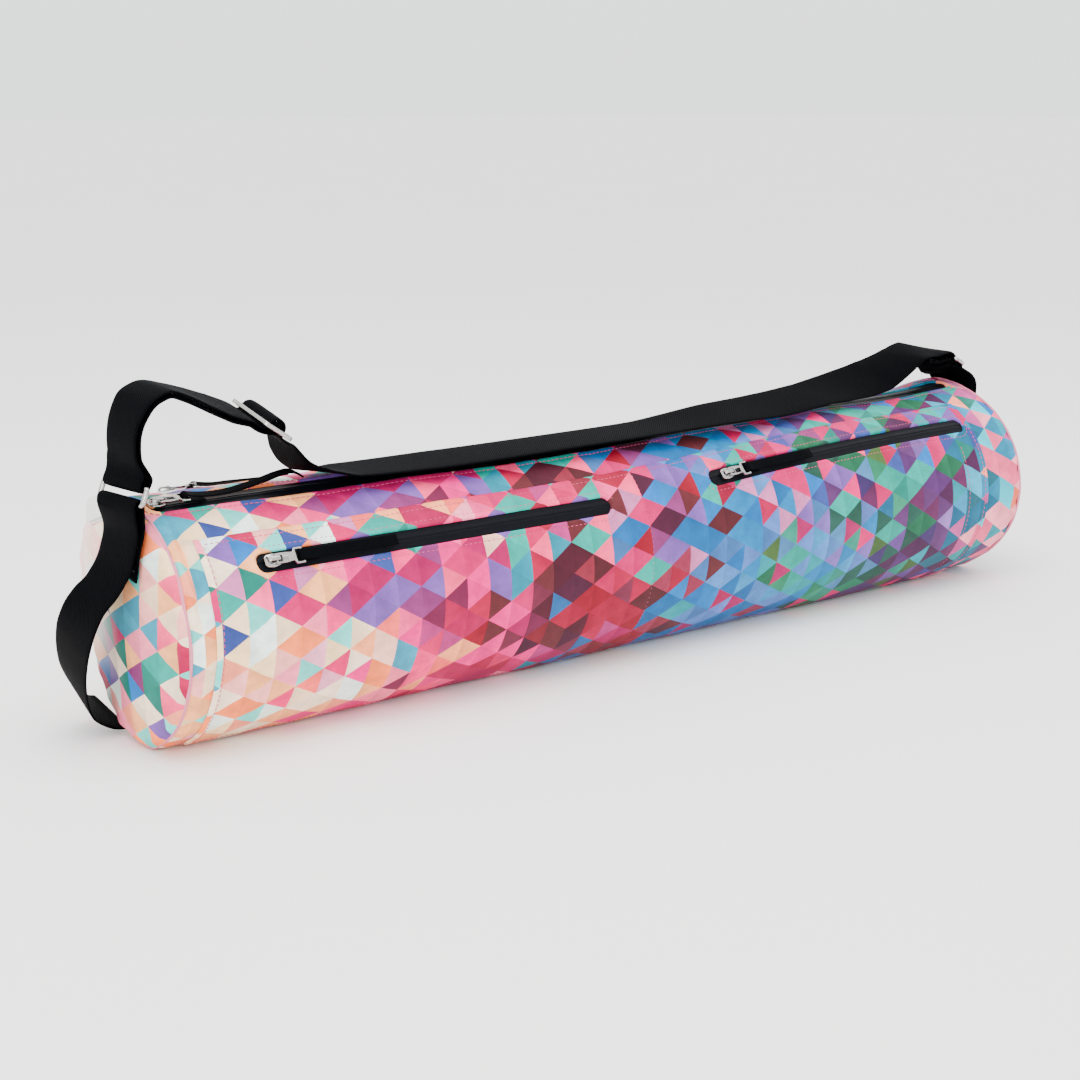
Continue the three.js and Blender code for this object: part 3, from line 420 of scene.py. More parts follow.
def radius_at(x, angle):
    depth = 0
    for along, at, deep, reach, spread in body_dents:
        run = (x - along * half) / (reach * body_radius)
        turn = angle_apart(angle, at) / spread
        depth = depth + deep * np.exp(-run * run - turn * turn)
    return body_radius * (1 - depth)


def drawn_in(x, angle):
    shift = 0
    for side, at, pull, reach, spread in seam_pulls:
        run = (x - side * half) / (reach * body_radius)
        turn = angle_apart(angle, at) / spread
        shift = shift - side * pull * body_radius * np.exp(-run * run - turn * turn)
    return shift


def bag_point(x, angle, lift):
    """Points at a height over the cloth, with the underside pressed flat."""
    reach = radius_at(x, angle) + lift
    turn = np.radians(angle)
    z = np.maximum(axis_height + reach * np.cos(turn), -lift)
    return np.stack([x + drawn_in(x, angle), -reach * np.sin(turn), z], axis=-1)


def twist_at(x):
    share = np.clip((x - twist_start) / twist_length, 0, 1)
    return -end_twist * np.sin(share * np.pi / 2)


print("tube:", 2 * body_radius, "mm across,", bag_length, "mm long")

# %% [markdown]
# ## Wrinkles
# Cloth over a rolled mat is never smooth. Long shallow waves come from the roll inside,
# short puckers stand square to each sewn seam, and each topstitch pulls the cloth down in
# a shallow channel. All are moves of real points, made from sums of seeded waves.

# %% Waves and puckers
rng = np.random.default_rng(41)


def wave_set(count, shortest, longest):
    """Directions, lengths and starts for a sum of slow waves."""
    turn = rng.uniform(0, np.pi, count)
    length = rng.uniform(shortest, longest, count)
    start = rng.uniform(0, 2 * np.pi, count)
    return turn, length, start


def waves(u, v, chosen):
    total = 0
    for turn, length, start in zip(*chosen):
        total = total + np.sin((u * np.cos(turn) + v * np.sin(turn)) * 2 * np.pi / length + start)
    return total / math.sqrt(len(chosen[0]))


slow_waves = wave_set(9, 70, 170)
quick_waves = wave_set(10, 22, 48)
pucker_turns = rng.integers(14, 40, 12)
pucker_starts = rng.uniform(0, 2 * np.pi, 12)


def puckers(angle):
    """Uneven ripples round a seam, from -1 to 1."""
    total = 0
    for count, start in zip(pucker_turns, pucker_starts):
        total = total + np.sin(np.radians(angle) * count + start)
    return total / 4.2


def cloth_waves(x, angle):
    """How far the cloth stands off its even surface, in millimetres."""
    v = np.radians(angle) * body_radius
    slow = waves(x, v, slow_waves) * 0.42
    quick = waves(x, v * 0.7, quick_waves) * 0.13
    from_left, from_right = np.maximum(x + half, 0), np.maximum(half - x, 0)
    left, right = np.exp(-from_left / 13.0), np.exp(-from_right / 13.0)
    pucker = puckers(angle) * left * 0.75 + puckers(angle + 77) * right * 0.75
    seam = -1.3 * (np.exp(-from_left / 1.6) + np.exp(-from_right / 1.6))
    return np.minimum(slow + quick + pucker + seam, 1.2)


print("waves:", len(slow_waves[0]) + len(quick_waves[0]), "puckers:", len(pucker_turns))

# %% [markdown]
# ## Making meshes
# A piece is a grid of points in millimetres that becomes a mesh in metres. Each point also
# keeps its place on the flat cloth or along its tape, in real millimetres, for the print
# and the weave to follow.

# %% Mesh helpers
pieces = []


def make_piece(name, points, faces, material, attribute=None, values=None, stands_for=()):
    """A smooth mesh piece that rides on the bag."""
    mesh = bpy.data.meshes.new(name)
    flat = np.asarray(points, float).reshape(-1, 3) / 1000
    mesh.from_pydata(flat.tolist(), [], [list(map(int, f)) for f in faces])
    if attribute:
        layer = mesh.attributes.new(attribute, "FLOAT_VECTOR", "POINT")
        layer.data.foreach_set("vector", np.asarray(values, np.float32).reshape(-1))
    mesh.polygons.foreach_set("use_smooth", [True] * len(mesh.polygons))
    mesh.materials.append(material)
    mesh.validate()
    mesh.update()
    piece = bpy.data.objects.new(name, mesh)
    scene.collection.objects.link(piece)
    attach(piece, "root")
    if stands_for:
        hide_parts(*stands_for)
    pieces.append(piece)
    return piece


def grid_faces(rows, columns, ring_rows=False, ring_columns=False, offset=0):
    """Quads over a grid of rows times columns points."""
    faces = []
    for r in range(rows if ring_rows else rows - 1):
        s = (r + 1) % rows
        for c in range(columns if ring_columns else columns - 1):
            d = (c + 1) % columns
            faces.append((offset + r * columns + c, offset + r * columns + d,
                          offset + s * columns + d, offset + s * columns + c))
    return faces


def refined(low, high, step, spots, near, fine):
    """Places from low to high, closer together within near of each spot."""
    places = list(np.linspace(low, high, max(2, int(round((high - low) / step)) + 1)))
    for spot in spots:
        places = [p for p in places if abs(p - spot) > near or p in (low, high)]
        places += [p for p in np.arange(spot - near, spot + near + fine / 2, fine) if low < p < high]
    return np.array(sorted(set(np.round(places, 4))))


print("helpers ready")

# %% [markdown]
# ## Zips' windows
# A zip sits in a window that is cut in the cloth, with its edge turned under. The window's
# outline is a bar with round ends. The distance from that outline says how far the cloth
# dips for the tape and where its turned edge swells.

# %% Windows
zips = {
    "main": dict(left=-346.0, right=338.0, angle=14.5, width=16.0),
    "left": dict(left=-304.0, right=-49.0, angle=57.8, width=11.5),
    "right": dict(left=39.9, right=303.0, angle=57.0, width=11.5),
    "back": dict(left=-318.0, right=-63.0, angle=-27.0, width=11.5),
}
window_stitch = 3.4


def window_distance(zip_, x, flat_angle):
    """Millimetres outside the window's outline, and less than 0 inside it."""
    across = np.radians(flat_angle - zip_["angle"]) * body_radius
    reach = zip_["width"] / 2
    run = np.maximum(np.maximum(zip_["left"] + reach - x, x - zip_["right"] + reach), 0)
    return np.hypot(across, run) - reach


def window_shape(zip_, x, flat_angle, dip, lip):
    """The cloth's height round a window: a dip inside it and a swollen turned edge."""
    away = window_distance(zip_, x, flat_angle)
    inside = 1 - smooth_step(away, -0.55, 0.05)
    edge = mound(away, 1.3, 1.25) * smooth_step(away, -0.55, 0.05)
    stitch = mound(away, window_stitch, 0.9)
    return -dip * inside + lip * edge - 0.3 * stitch


print("windows:", list(zips))

# %% [markdown]
# ## The body
# One tube of cloth, closer points along its zips and at its ends, where the shape turns
# quickly. Its rows follow the twist, so that the zips run along them. Under the pocket panel
# and its tapes the cloth lies a little lower, so that the two layers don't cut each other.

# %% Body
def zip_rows(names):
    edges = []
    for name in names:
        reach = math.degrees(zips[name]["width"] / 2 / body_radius)
        edges += [zips[name]["angle"] - reach, zips[name]["angle"] + reach]
    return edges


def zip_columns(names):
    return [zips[n][end] + inset for n in names for end, inset in (("left", 3.0), ("right", -3.0))]


patch_left, patch_right = -335.0, 312.0
seam_spots = [-half + 4, -half + 9, half - 3]
body_columns = refined(-half, half, 5.0, zip_columns(["main", "back"]) + seam_spots, 5.0, 0.7)
body_rows = refined(-180, 180, 2.4, zip_rows(["main", "back"]), 2.4, 0.35)[:-1]
grid_x, grid_a = np.meshgrid(body_columns, body_rows, indexing="ij")
twisted = grid_a + twist_at(grid_x)
dips = sum(window_shape(zips[n], grid_x, grid_a, 2.0, 0.45) for n in ("main", "back"))
patch_rise, patch_fall = (patch_left + 4, patch_left + 8), (patch_right - 8, patch_right - 4)
under_patch = between(twisted, (44, 47), (154, 157)) * between(grid_x, patch_rise, patch_fall)
under_tapes = sum(1 - smooth_step(window_distance(zips[n], grid_x, grid_a), 1, 5) for n in ("left", "right"))
lift = cloth_waves(grid_x, twisted) + dips - 0.5 * under_patch - 2.2 * under_tapes
# The end seam is pinched into a fold on its front, with a crease behind it.
from_seam = grid_x + half + 0.8 * np.sin(np.radians(twisted * 9))
pinch = 1.7 * mound(from_seam, 3.2, 2.2) - 2.1 * mound(from_seam, 8, 1.7)
lift = lift + pinch * between(twisted, (27, 38), (70, 88))
body_points = bag_point(grid_x, twisted, lift)
flat_v = np.radians(grid_a) * body_radius
body_values = np.stack([grid_x, flat_v, np.zeros_like(grid_x)], axis=-1)
make_piece("body_cloth", body_points, grid_faces(len(body_columns), len(body_rows), ring_columns=True),
           print_cloth, "cloth", body_values, ["body_panel"])
print("body points:", body_points.shape[:2])

# %% [markdown]
# ## The pocket panel
# The panel is a second layer of the same cloth over the front, turned under and topstitched
# all round, with two windows for its zips. It is cut from another place on the roll, so the
# triangles don't run on across its edges.

# %% Pocket panel
patch_top, patch_drift, patch_bottom = 41.5, 3.3, 160.0
patch_lift = 1.2
stitch_in, divider_x, sewn_end_x = 4.2, -22.0, 290.0
cloth_shift_u, cloth_shift_v = column_width * 0.37, -61.2
patch_columns = refined(patch_left, patch_right, 4.5,
                        zip_columns(["left", "right"]) + [patch_left + 2, patch_right - 2], 5.0, 0.7)
even_rows = refined(49, 66, 1.0, zip_rows(["left", "right"]), 1.3, 0.35)
top_share = np.array([0, 0.08, 0.16, 0.26, 0.4, 0.55, 0.7, 0.85])
low_share = np.concatenate([np.linspace(0, 0.955, 40), [0.968, 0.98, 0.99, 1.0]])[1:]


def patch_edge(x):
    """The panel's top and bottom angles, before the twist."""
    share = np.clip((x + half) / bag_length, 0, 1)
    return patch_top - patch_drift * share, patch_bottom - twist_at(x)


def patch_rows(x):
    """The angles of the panel's rows at a place along the bag."""
    upper_edge, lower_edge = patch_edge(x)
    return np.concatenate([upper_edge + (even_rows[0] - upper_edge) * top_share, even_rows,
                           even_rows[-1] + (lower_edge - even_rows[-1]) * low_share])


patch_a = np.array([patch_rows(x) for x in patch_columns])
patch_x = np.repeat(patch_columns[:, None], patch_a.shape[1], axis=1)
upper_edge, lower_edge = patch_edge(patch_x)
from_top = np.radians(patch_a - upper_edge) * body_radius
from_bottom = np.radians(lower_edge - patch_a) * body_radius
inside = np.minimum.reduce([from_top, from_bottom, patch_x - patch_left, patch_right - patch_x])
hem = 0.35 + (patch_lift - 0.1) * smooth_step(inside, 0, 1.6) - 0.35 * mound(inside, stitch_in, 1.1)
fold = 0.9 * mound(patch_x, -306, 2.6) * between(patch_a, (45, 60), (112, 140))
divider = -0.45 * mound(patch_x, divider_x, 1.4) + 0.3 * mound(patch_x, divider_x - 4, 2.2)
sewn_end = -0.45 * mound(patch_x, sewn_end_x, 1.4) + 0.3 * mound(patch_x, sewn_end_x + 4, 2.4)
sewn_end = sewn_end * smooth_step(patch_a, 66, 74)
patch_dips = sum(window_shape(zips[n], patch_x, patch_a, 3.2, 0.55) for n in ("left", "right"))
patch_turned = patch_a + twist_at(patch_x)
patch_up = cloth_waves(patch_x, patch_turned) + hem + fold + divider + sewn_end + patch_dips
patch_values = np.stack([patch_x + cloth_shift_u, np.radians(patch_a) * body_radius + cloth_shift_v,
                         np.zeros_like(patch_x)], axis=-1)
make_piece("pocket_panel_cloth", bag_point(patch_x, patch_turned, patch_up), grid_faces(*patch_a.shape),
           print_cloth, "cloth", patch_values, ["front_pocket_panel"])
print("panel points:", patch_a.shape)

# %% [markdown]
# ## The round ends
# Each end is a disc of the same cloth, sewn into the end of the tube. It bulges a little
# over the mat, dips where nothing fills it, and its seam draws small puckers into it.

# %% Ends
end_dome = 6.5
seam_gap, end_wall = 0.3, 1.6
end_hollows = [
    # side, angle, radius as a share, depth as a share of the dome, spread
    (-1, -100, 0.85, 0.55, 0.45),
    (-1, -150, 0.62, 0.6, 0.34),
    (-1, 60, 0.75, 0.35, 0.3),
    (1, 120, 0.6, 0.5, 0.35),
    (1, -8, 0.85, 0.6, 0.4),
]
dome_shares = [0, 0.45, 0.78, 0.95, 1.0]
dome_outs = [1, 0.95, 0.75, 0.42, 0.0]


def hollow_at(side, angle, share):
    depth = 0
    for one, at, radius, deep, spread in end_hollows:
        if one == side:
            turn = np.radians(angle_apart(angle, at))
            away = np.hypot(share * np.sin(turn), share * np.cos(turn) - radius) / spread
            depth = depth + deep * np.exp(-away * away)
    return depth * np.sqrt(share) * (1 - share ** 4)


def end_point(side, share, angle, lift):
    rim = bag_point(np.full_like(angle, side * half), angle, np.zeros_like(angle))
    out = np.interp(share, dome_shares, dome_outs)
    proud = end_dome * np.maximum(out - hollow_at(side, angle, share), 0.05 * out)
    x = side * (half + seam_gap + end_wall + lift + proud) + drawn_in(side * half, angle) * share
    y = rim[..., 1] * share
    z = axis_height + (rim[..., 2] - axis_height) * share
    return np.stack([x, y, z], axis=-1)


def make_end(side, name, node):
    shares = np.concatenate([[0.004], np.linspace(0.06, 0.9, 22), [0.925, 0.95, 0.965, 0.98, 0.99, 1.0]])
    angles = np.linspace(-180, 180, 181)[:-1]
    share, angle = np.meshgrid(shares, angles, indexing="ij")
    by_seam = np.exp(-(1 - share) * body_radius / 11) * (1 - share ** 30)
    ripple = puckers(angle + (30 if side > 0 else -12)) * 0.8 * by_seam
    turn = np.radians(angle)
    soft = waves(share * 70 * np.sin(turn), share * 70 * np.cos(turn), slow_waves) * 0.5
    seam = -1.1 * smooth_step(share, 0.965, 1.0)
    points = end_point(side, share, angle, soft * (1 - share ** 6) + ripple + seam - 0.2)
    y, z = points[..., 1], points[..., 2]
    pale = np.zeros_like(y)
    if side < 0:
        pale = 0.72 * smooth_step(y, -2, 44) * smooth_step(z, 28, 60)
    values = np.stack([side * (half + 4) + y * 0.9 - side * 20, z - axis_height + 33, pale], axis=-1)
    make_piece(name, points, grid_faces(*share.shape, ring_columns=True), print_cloth, "cloth", values,
               [node])


make_end(-1, "end_cloth_left", "end_panel_left")
make_end(1, "end_cloth_right", "end_panel_right")


def make_welt(side, name):
    """A thin folded welt that closes the seam round an end."""
    angles = np.linspace(-180, 180, 361)[:-1]
    turn = np.linspace(0, 2 * np.pi, 9)[:-1]
    radius = 0.95 + 0.12 * puckers(angles * 0.7)
    grid = np.stack([bag_point(side * (half + 0.45) + side * radius * np.cos(t), angles,
                               -0.75 + radius * np.sin(t)) for t in turn], axis=1)
    along = np.radians(angles)[:, None] * body_radius + 0 * turn[None, :]
    values = np.stack([along, radius[:, None] * turn[None, :], np.zeros_like(along)], axis=-1)
    faces = grid_faces(*grid.shape[:2], ring_rows=True, ring_columns=True)
    make_piece(name, grid, faces, seam_binding, "tape", values)


make_welt(-1, "seam_welt_left")
make_welt(1, "seam_welt_right")
print("ends:", [piece.name for piece in pieces[-4:]])

# %% [markdown]
# ## Zip tapes
# A water-repellent coil zip shows its smooth back: two films that meet over the hidden coil
# in a fine line, with a low swelling on each side of it.

# %% Tapes
def make_tape(key, node, base):
    """One zip tape in its window, with the two films that meet along its middle."""
    zip_ = zips[key]
    reach = zip_["width"] / 2
    left, right = zip_["left"] + 0.5, zip_["right"] - 0.5
    columns = refined(left, right, 5.0, [left, right], reach + 2, 0.8)
    across = np.array([-1, -0.94, -0.8, -0.6, -0.42, -0.33, -0.24, -0.15, -0.08, -0.035, 0,
                       0.035, 0.08, 0.15, 0.24, 0.33, 0.42, 0.6, 0.8, 0.94, 1])
    run = np.maximum(np.maximum(left + reach - columns, columns - right + reach), 0)
    width = np.sqrt(np.maximum(reach ** 2 - run ** 2, 0.6))
    x, share = np.meshgrid(columns, across, indexing="ij")
    wide = width[:, None] * share
    swell = 0.55 * np.exp(-(np.abs(wide) / 2.3) ** 4) - 0.5 * np.exp(-(wide / 0.28) ** 2)
    ripple = 0.12 * waves(x * 1.6, wide * 3, quick_waves)
    angle = zip_["angle"] + twist_at(x) - np.degrees(wide / body_radius)
    points = bag_point(x, angle, base + swell + ripple * (1 - np.abs(share)))
    values = np.stack([x, wide, np.zeros_like(x)], axis=-1)
    make_piece(f"zip_tape_{key}", points, grid_faces(*x.shape), zip_film, "tape", values, [node])


tapes = [("main", "main_zip", -0.9), ("left", "pocket_zip_left", 0.75),
         ("right", "pocket_zip_right", 0.75), ("back", "back_zip", -0.9)]
for tape in tapes:
    make_tape(*tape)
print("tapes:", len(tapes))

# %% [markdown]
# ## Webbing
# A piece of webbing follows a line of points with a direction for its width at each one. Its
# section is nearly flat with round edges. The strap and the handles repeat the solids' own
# courses, so that they pass through the same rings.

# %% Smooth courses
def run_along(points):
    """The length so far at each point of a line."""
    return np.concatenate([[0], np.cumsum(np.linalg.norm(np.diff(points, axis=0), axis=1))])


def value_at(place, run, values):
    """The point or direction at a length along a line."""
    return np.array([np.interp(place, run, values[:, k]) for k in range(3)])


def tilted(angle):
    """A width direction across the bag, tilted up by an angle."""
    return np.array([0, math.cos(math.radians(angle)), math.sin(math.radians(angle))])


def smooth_course(rows, steps):
    """Centres and width directions on a smooth line through the rows."""
    at = np.array([r[0] for r in rows], float)
    wide = np.array([r[1] for r in rows], float)
    points = np.vstack([2 * at[0] - at[1], at, 2 * at[-1] - at[-2]])
    centres, across = [], []
    for i in range(len(at) - 1):
        p = points[i:i + 4]
        gaps = [max(np.linalg.norm(p[k + 1] - p[k]) ** 0.5, 1e-3) for k in range(3)]
        a = (p[1] - p[0]) / gaps[0] - (p[2] - p[0]) / (gaps[0] + gaps[1]) + (p[2] - p[1]) / gaps[1]
        b = (p[2] - p[1]) / gaps[1] - (p[3] - p[1]) / (gaps[1] + gaps[2]) + (p[3] - p[2]) / gaps[2]
        a, b = a * gaps[1], b * gaps[1]
        last = i == len(at) - 2
        for t in np.linspace(0, 1, steps + 1)[:steps + (1 if last else 0)]:
            centres.append(p[1] + a * t + (-3 * p[1] + 3 * p[2] - 2 * a - b) * t ** 2
                           + (2 * p[1] - 2 * p[2] + a + b) * t ** 3)
            across.append(wide[i] + (wide[i + 1] - wide[i]) * t)
    return np.array(centres), np.array(across)


def frames_along(centres, across):
    """Unit vectors along, across and up at each centre, and the length so far."""
    along = np.gradient(centres, axis=0)
    along /= np.linalg.norm(along, axis=1)[:, None]
    side = across - along * np.sum(across * along, axis=1)[:, None]
    side /= np.linalg.norm(side, axis=1)[:, None]
    up = np.cross(along, side)
    return along, side, up, run_along(centres)


def make_webbing(name, rows, width, thick, steps, material, stands_for):
    """Webbing along rows of (centre, width direction), with round edges and capped ends.

    It gives back the course: the centres, the ways across and up, and the length so far.
    """
    centres, across = smooth_course(rows, steps)
    along, side, up, run = frames_along(centres, across)
    turn = np.linspace(0, 2 * np.pi, 29)[:-1]
    c, s = np.cos(turn), np.sin(turn)
    flat = np.sign(c) * np.abs(c) ** 0.35 * width / 2
    high = np.sign(s) * np.abs(s) ** 0.55 * thick / 2
    points = centres[:, None] + side[:, None] * flat[None, :, None] + up[:, None] * high[None, :, None]
    values = np.stack(np.broadcast_arrays(run[:, None], flat[None, :], high[None, :]), axis=-1)
    faces = grid_faces(len(centres), len(turn), ring_columns=True)
    faces.append(tuple(range(len(turn) - 1, -1, -1)))
    faces.append(tuple(range((len(centres) - 1) * len(turn), len(centres) * len(turn))))
    make_piece(name, points, faces, material, "tape", values, stands_for)
    print(name, "length", round(float(run[-1])), "mm")
    return centres, side, up, run


web_width, web_thick = 38.0, 1.8

# %% [markdown]
# ## Rings and the strap's course
# The rings are wire bent to a slot. Their places give the strap and the handles the bars
# that they turn round. These few tables are the same as those of the solids.

# %% The rings' places
wire_radius, fit_play, ring_inner = 1.6, 0.3, 7.0


def unit(v):
    return v / np.linalg.norm(v)


def ring_place(side, angle, out, above, lean, yaw):
    reach, turn = body_radius + above, math.radians(angle)
    middle = np.array([side * (half + out), -reach * math.sin(turn), axis_height + reach * math.cos(turn)])
    bars = np.array([-side * math.sin(math.radians(yaw)), math.cos(math.radians(yaw)), 0])
    up = np.array([-side * math.sin(math.radians(lean)), 0, math.cos(math.radians(lean))])
    up = unit(up - bars * up.dot(bars))
    reach = ring_inner / 2 + wire_radius
    return dict(middle=middle, bars=bars, up=up, face=np.cross(bars, up), upper=middle + up * reach,
                lower=middle - up * reach)


loop_angle, rise_angle = 12.8, -5.0
left_ring = ring_place(-1, loop_angle, 9.3, 10.2, 23, -4)
right_ring = ring_place(1, rise_angle, -8, 21, 62, 4)


def turn_rows(bar, away, out, across, legs):
    """Rows round a bar, from one leg to the other."""
    turn = wire_radius + fit_play + web_thick / 2
    table = [(1, legs), (1, 0), (0.71, -0.71), (0, -1), (-0.71, -0.71), (-1, 0), (-1, legs)]
    return [(bar + out * o * turn + away * a * turn, across) for o, a in table]


print("rings at", np.round(left_ring["middle"], 1), np.round(right_ring["middle"], 1))

# %% The strap's course
loop_length, loop_height, rise_height, strap_offset = 120.0, 63.5, 31.0, -17.9
adjuster_bar, adjuster_thick, adjuster_slot = 3.0, 2.5, 6.1
loop_table = [
    # along, rise, roll, yaw
    (-0.076, 0.447, 0, 4), (-0.074, 0.62, 0, 4), (-0.053, 0.762, 2, 3), (0.0, 0.92, 3, 0),
    (0.05, 0.975, 3, 0), (0.106, 1.0, 3, 0), (0.2, 0.95, 6, 0), (0.3125, 0.865, 11, 0), (0.425, 0.775, 14, 0),
]
fall_table = [(0.775, 0.31, 3, 0), (0.825, 0.198, -4, 0), (0.892, 0.121, -8, 0), (1.0, 0.072, -4, 0)]
top_table = [
    # along, height, across, roll
    (-0.62, 0.11, -0.255, 2), (-0.43, 0.075, -0.255, 5), (-0.17, 0.09, -0.255, 4), (0.06, 0.12, -0.255, 4),
    (0.24, 0.207, -0.2365, 11.6), (0.4, 0.219, -0.171, 15.5), (0.54, 0.301, -0.101, 15.2),
    (0.67, 0.381, -0.021, 24.7), (0.75, 0.497, 0.02, 27.4), (0.81, 0.71, 0.038, 16.7),
    (0.857, 0.908, 0.0515, 8), (0.903, 0.97, 0.07, 11),
]
tail_table = [(0.873, 0.84, 0.06, 8), (0.91, 0.79, 0.08, 8)]


def loop_row(row, inset=(0.0, 0.0)):
    along, rise, roll, yaw = row
    roll, yaw = math.radians(roll), math.radians(yaw)
    x, z = -half + along * loop_length + inset[0], bag_top + rise * loop_height + inset[1]
    across = np.array([math.sin(yaw), math.cos(yaw) * math.cos(roll), math.sin(roll)])
    return np.array([x, strap_offset, z]), across


def inset_at(place):
    before, after = loop_table[max(place - 1, 0)], loop_table[min(place + 1, len(loop_table) - 1)]
    run = unit(np.array([(after[0] - before[0]) * loop_length, (after[1] - before[1]) * loop_height]))
    apart = web_thick + fit_play * 4
    return run[1] * apart, -run[0] * apart


def top_row(row):
    along, height, across, roll = row
    return np.array([along * half, across * body_radius, bag_top + height * rise_height]), tilted(roll)


def adjuster_rows():
    """The adjuster's place and the two runs of webbing round its middle bar."""
    middle = np.array([-half + 0.65 * loop_length, strap_offset, bag_top + 0.61 * loop_height])
    down = math.radians(34)
    along = np.array([math.cos(down), 0, -math.sin(down)])
    across = tilted(14)
    across = unit(across - along * across.dot(along))
    over = np.cross(along, across)
    bar = math.hypot(adjuster_bar, adjuster_thick) / 2
    inner = bar + fit_play + web_thick / 2
    outer = inner + web_thick + fit_play * 1.6
    edge = adjuster_bar / 2 + adjuster_slot
    under = adjuster_thick / 2 + fit_play + web_thick / 2
    sliding = [
        (edge + adjuster_bar + 4, -under - 0.9), (edge + adjuster_bar * 0.4, -under - 0.8),
        (edge - 1.4, -under + 0.1), (outer, 0.4), (outer * 0.82, outer * 0.62), (outer * 0.45, outer * 0.95),
    ]
    mirrored = [(-u, w) for u, w in sliding][::-1]
    second = under + web_thick + fit_play * 2 + 1
    sewn = [(-edge - adjuster_bar - 4, -second - 0.2), (-edge, -second - 0.1), (-edge * 0.45, -inner - 1.6),
            (0, -inner), (inner * 0.71, -inner * 0.71), (inner, 0), (inner * 0.71, inner * 0.71), (0, inner),
            (-inner * 0.71, inner * 0.71), (-inner, 0.2)]
    run = sliding + [(0, outer * 1.02)] + mirrored
    return [[(middle + along * u + over * w, across) for u, w in rows] for rows in (run, sewn)]


adjuster_run, adjuster_sewn = adjuster_rows()
at_right = turn_rows(right_ring["upper"], right_ring["up"], right_ring["face"], right_ring["bars"], 2)
at_left = turn_rows(left_ring["upper"], left_ring["up"], -left_ring["face"], left_ring["bars"], 2)
outer_loop = [loop_row(row) for row in loop_table]
inner_loop = [loop_row(row, inset_at(place)) for place, row in enumerate(loop_table)]
tail, over_top = [top_row(row) for row in tail_table], [top_row(row) for row in top_table[::-1]]
fall = [loop_row(row) for row in fall_table[::-1]]
strap_rows = (tail + at_right[::-1] + over_top + fall + adjuster_run + outer_loop[::-1] + at_left
              + inner_loop + adjuster_sewn)
strap_course = make_webbing("strap_webbing", strap_rows, web_width, web_thick, 6, webbing_twill,
                            ["shoulder_strap"])

# %% [markdown]
# ## The end handles and the care label
# Each handle is webbing sewn into the top of an end, through the ring's lower bar, and
# across the end in a loose curve. The left one runs in under the far side of its end. The
# care label is a short satin tape folded in the left seam.

# %% Handles
handle_bulge, handle_tail, handle_play = 30.5, 26.0, 0.9
handle_table = [
    # down, out, side, roll
    (0.09, 0.36, -0.033, -12), (0.163, 0.393, -0.037, -11), (0.237, 0.47, -0.027, -9),
    (0.311, 0.64, -0.016, -7), (0.371, 0.84, 0.0, -5), (0.44, 0.96, 0.027, -2), (0.535, 1.0, 0.087, 3),
    (0.63, 0.95, 0.16, 8), (0.725, 0.852, 0.219, 12), (0.819, 0.69, 0.279, 15), (0.895, 0.48, 0.303, 17),
]
left_foot = [(0.94, 0.27, 0.306, 11), (0.971, 0.066, 0.311, 5), (0.983, -0.13, 0.32, 4)]
right_foot = [(0.935, 0, 0.3, 10), (0.958, 0, 0.3, 7)]
tail_row = (0.06, 0, -0.04, -12)
inner_rim = [(-0.024, 0.23, -0.042, -8), (-0.07, 0.02, -0.045, -3)]
outer_rim = (-0.014, 0.36, -0.038, -7)


def end_face(side, y, z):
    """The outside of an end, along the bag, at a place on it."""
    angle = math.degrees(math.atan2(-y, z - axis_height))
    rim = bag_point(np.array([side * half]), np.array([angle]), np.array([0.0]))[0]
    share = min(math.hypot(y, z - axis_height) / math.hypot(rim[1], rim[2] - axis_height), 1)
    return float(end_point(side, np.array([share]), np.array([angle]), 0.0)[0, 0])


def handle_row(side, angle, row):
    down, out, aside, roll = row
    turn, roll = math.radians(angle), math.radians(roll)
    up = np.array([0, -math.sin(turn), math.cos(turn)])
    far = np.array([0, math.cos(turn), math.sin(turn)])
    at = np.array([side * (half + out * handle_bulge), 0, axis_height])
    at = at + up * body_radius * (1 - 2 * down) + far * body_radius * aside
    return at, far * math.cos(roll) + up * math.sin(roll)


def seated_row(side, angle, row):
    """A row that lies flat on an end."""
    at, across = handle_row(side, angle, row)
    over = [at + across * away for away in (-web_width / 2, 0, web_width / 2)]
    reach = max(side * end_face(side, y, z) for x, y, z in over)
    at[0] = side * (reach + handle_play + web_thick / 2)
    return at, across


def handle_rows(side, angle, ring, rim_rows, outer_rows):
    tail = handle_tail / (2 * body_radius)
    inside = [seated_row(side, angle, (tail_row[0] + tail * share,) + tail_row[1:]) for share in (1, 0.5, 0)]
    inward = np.array([-side, 0.0, 0.0])
    inward = unit(inward - ring["bars"] * inward.dot(ring["bars"]))
    turn = turn_rows(ring["lower"], np.array([0, 0, -1.0]), inward, ring["bars"], 1.5)
    return inside + rim_rows + turn + outer_rows


left_rows = [handle_row(-1, loop_angle, row) for row in handle_table + left_foot]
right_rows = [handle_row(1, rise_angle, row) for row in [outer_rim] + handle_table]
right_rows += [seated_row(1, rise_angle, row) for row in right_foot]
rim_rows = [handle_row(1, rise_angle, row) for row in inner_rim]
left_rows = handle_rows(-1, loop_angle, left_ring, [], left_rows)
right_rows = handle_rows(1, rise_angle, right_ring, rim_rows, right_rows)
left_course = make_webbing("handle_webbing_left", left_rows, web_width, web_thick, 6, webbing_twill,
                           ["end_handle_left"])
make_webbing("handle_webbing_right", right_rows, web_width, web_thick, 6, webbing_twill,
             ["end_handle_right"])

# %% Care label
label_width, label_thick, label_angle = 24.0, 0.8, -19.0
label_table = [(0.84, 0.8), (0.95, 0.9), (1.04, 1.6), (1.05, 2.9), (0.96, 3.4), (0.86, 2.9)]


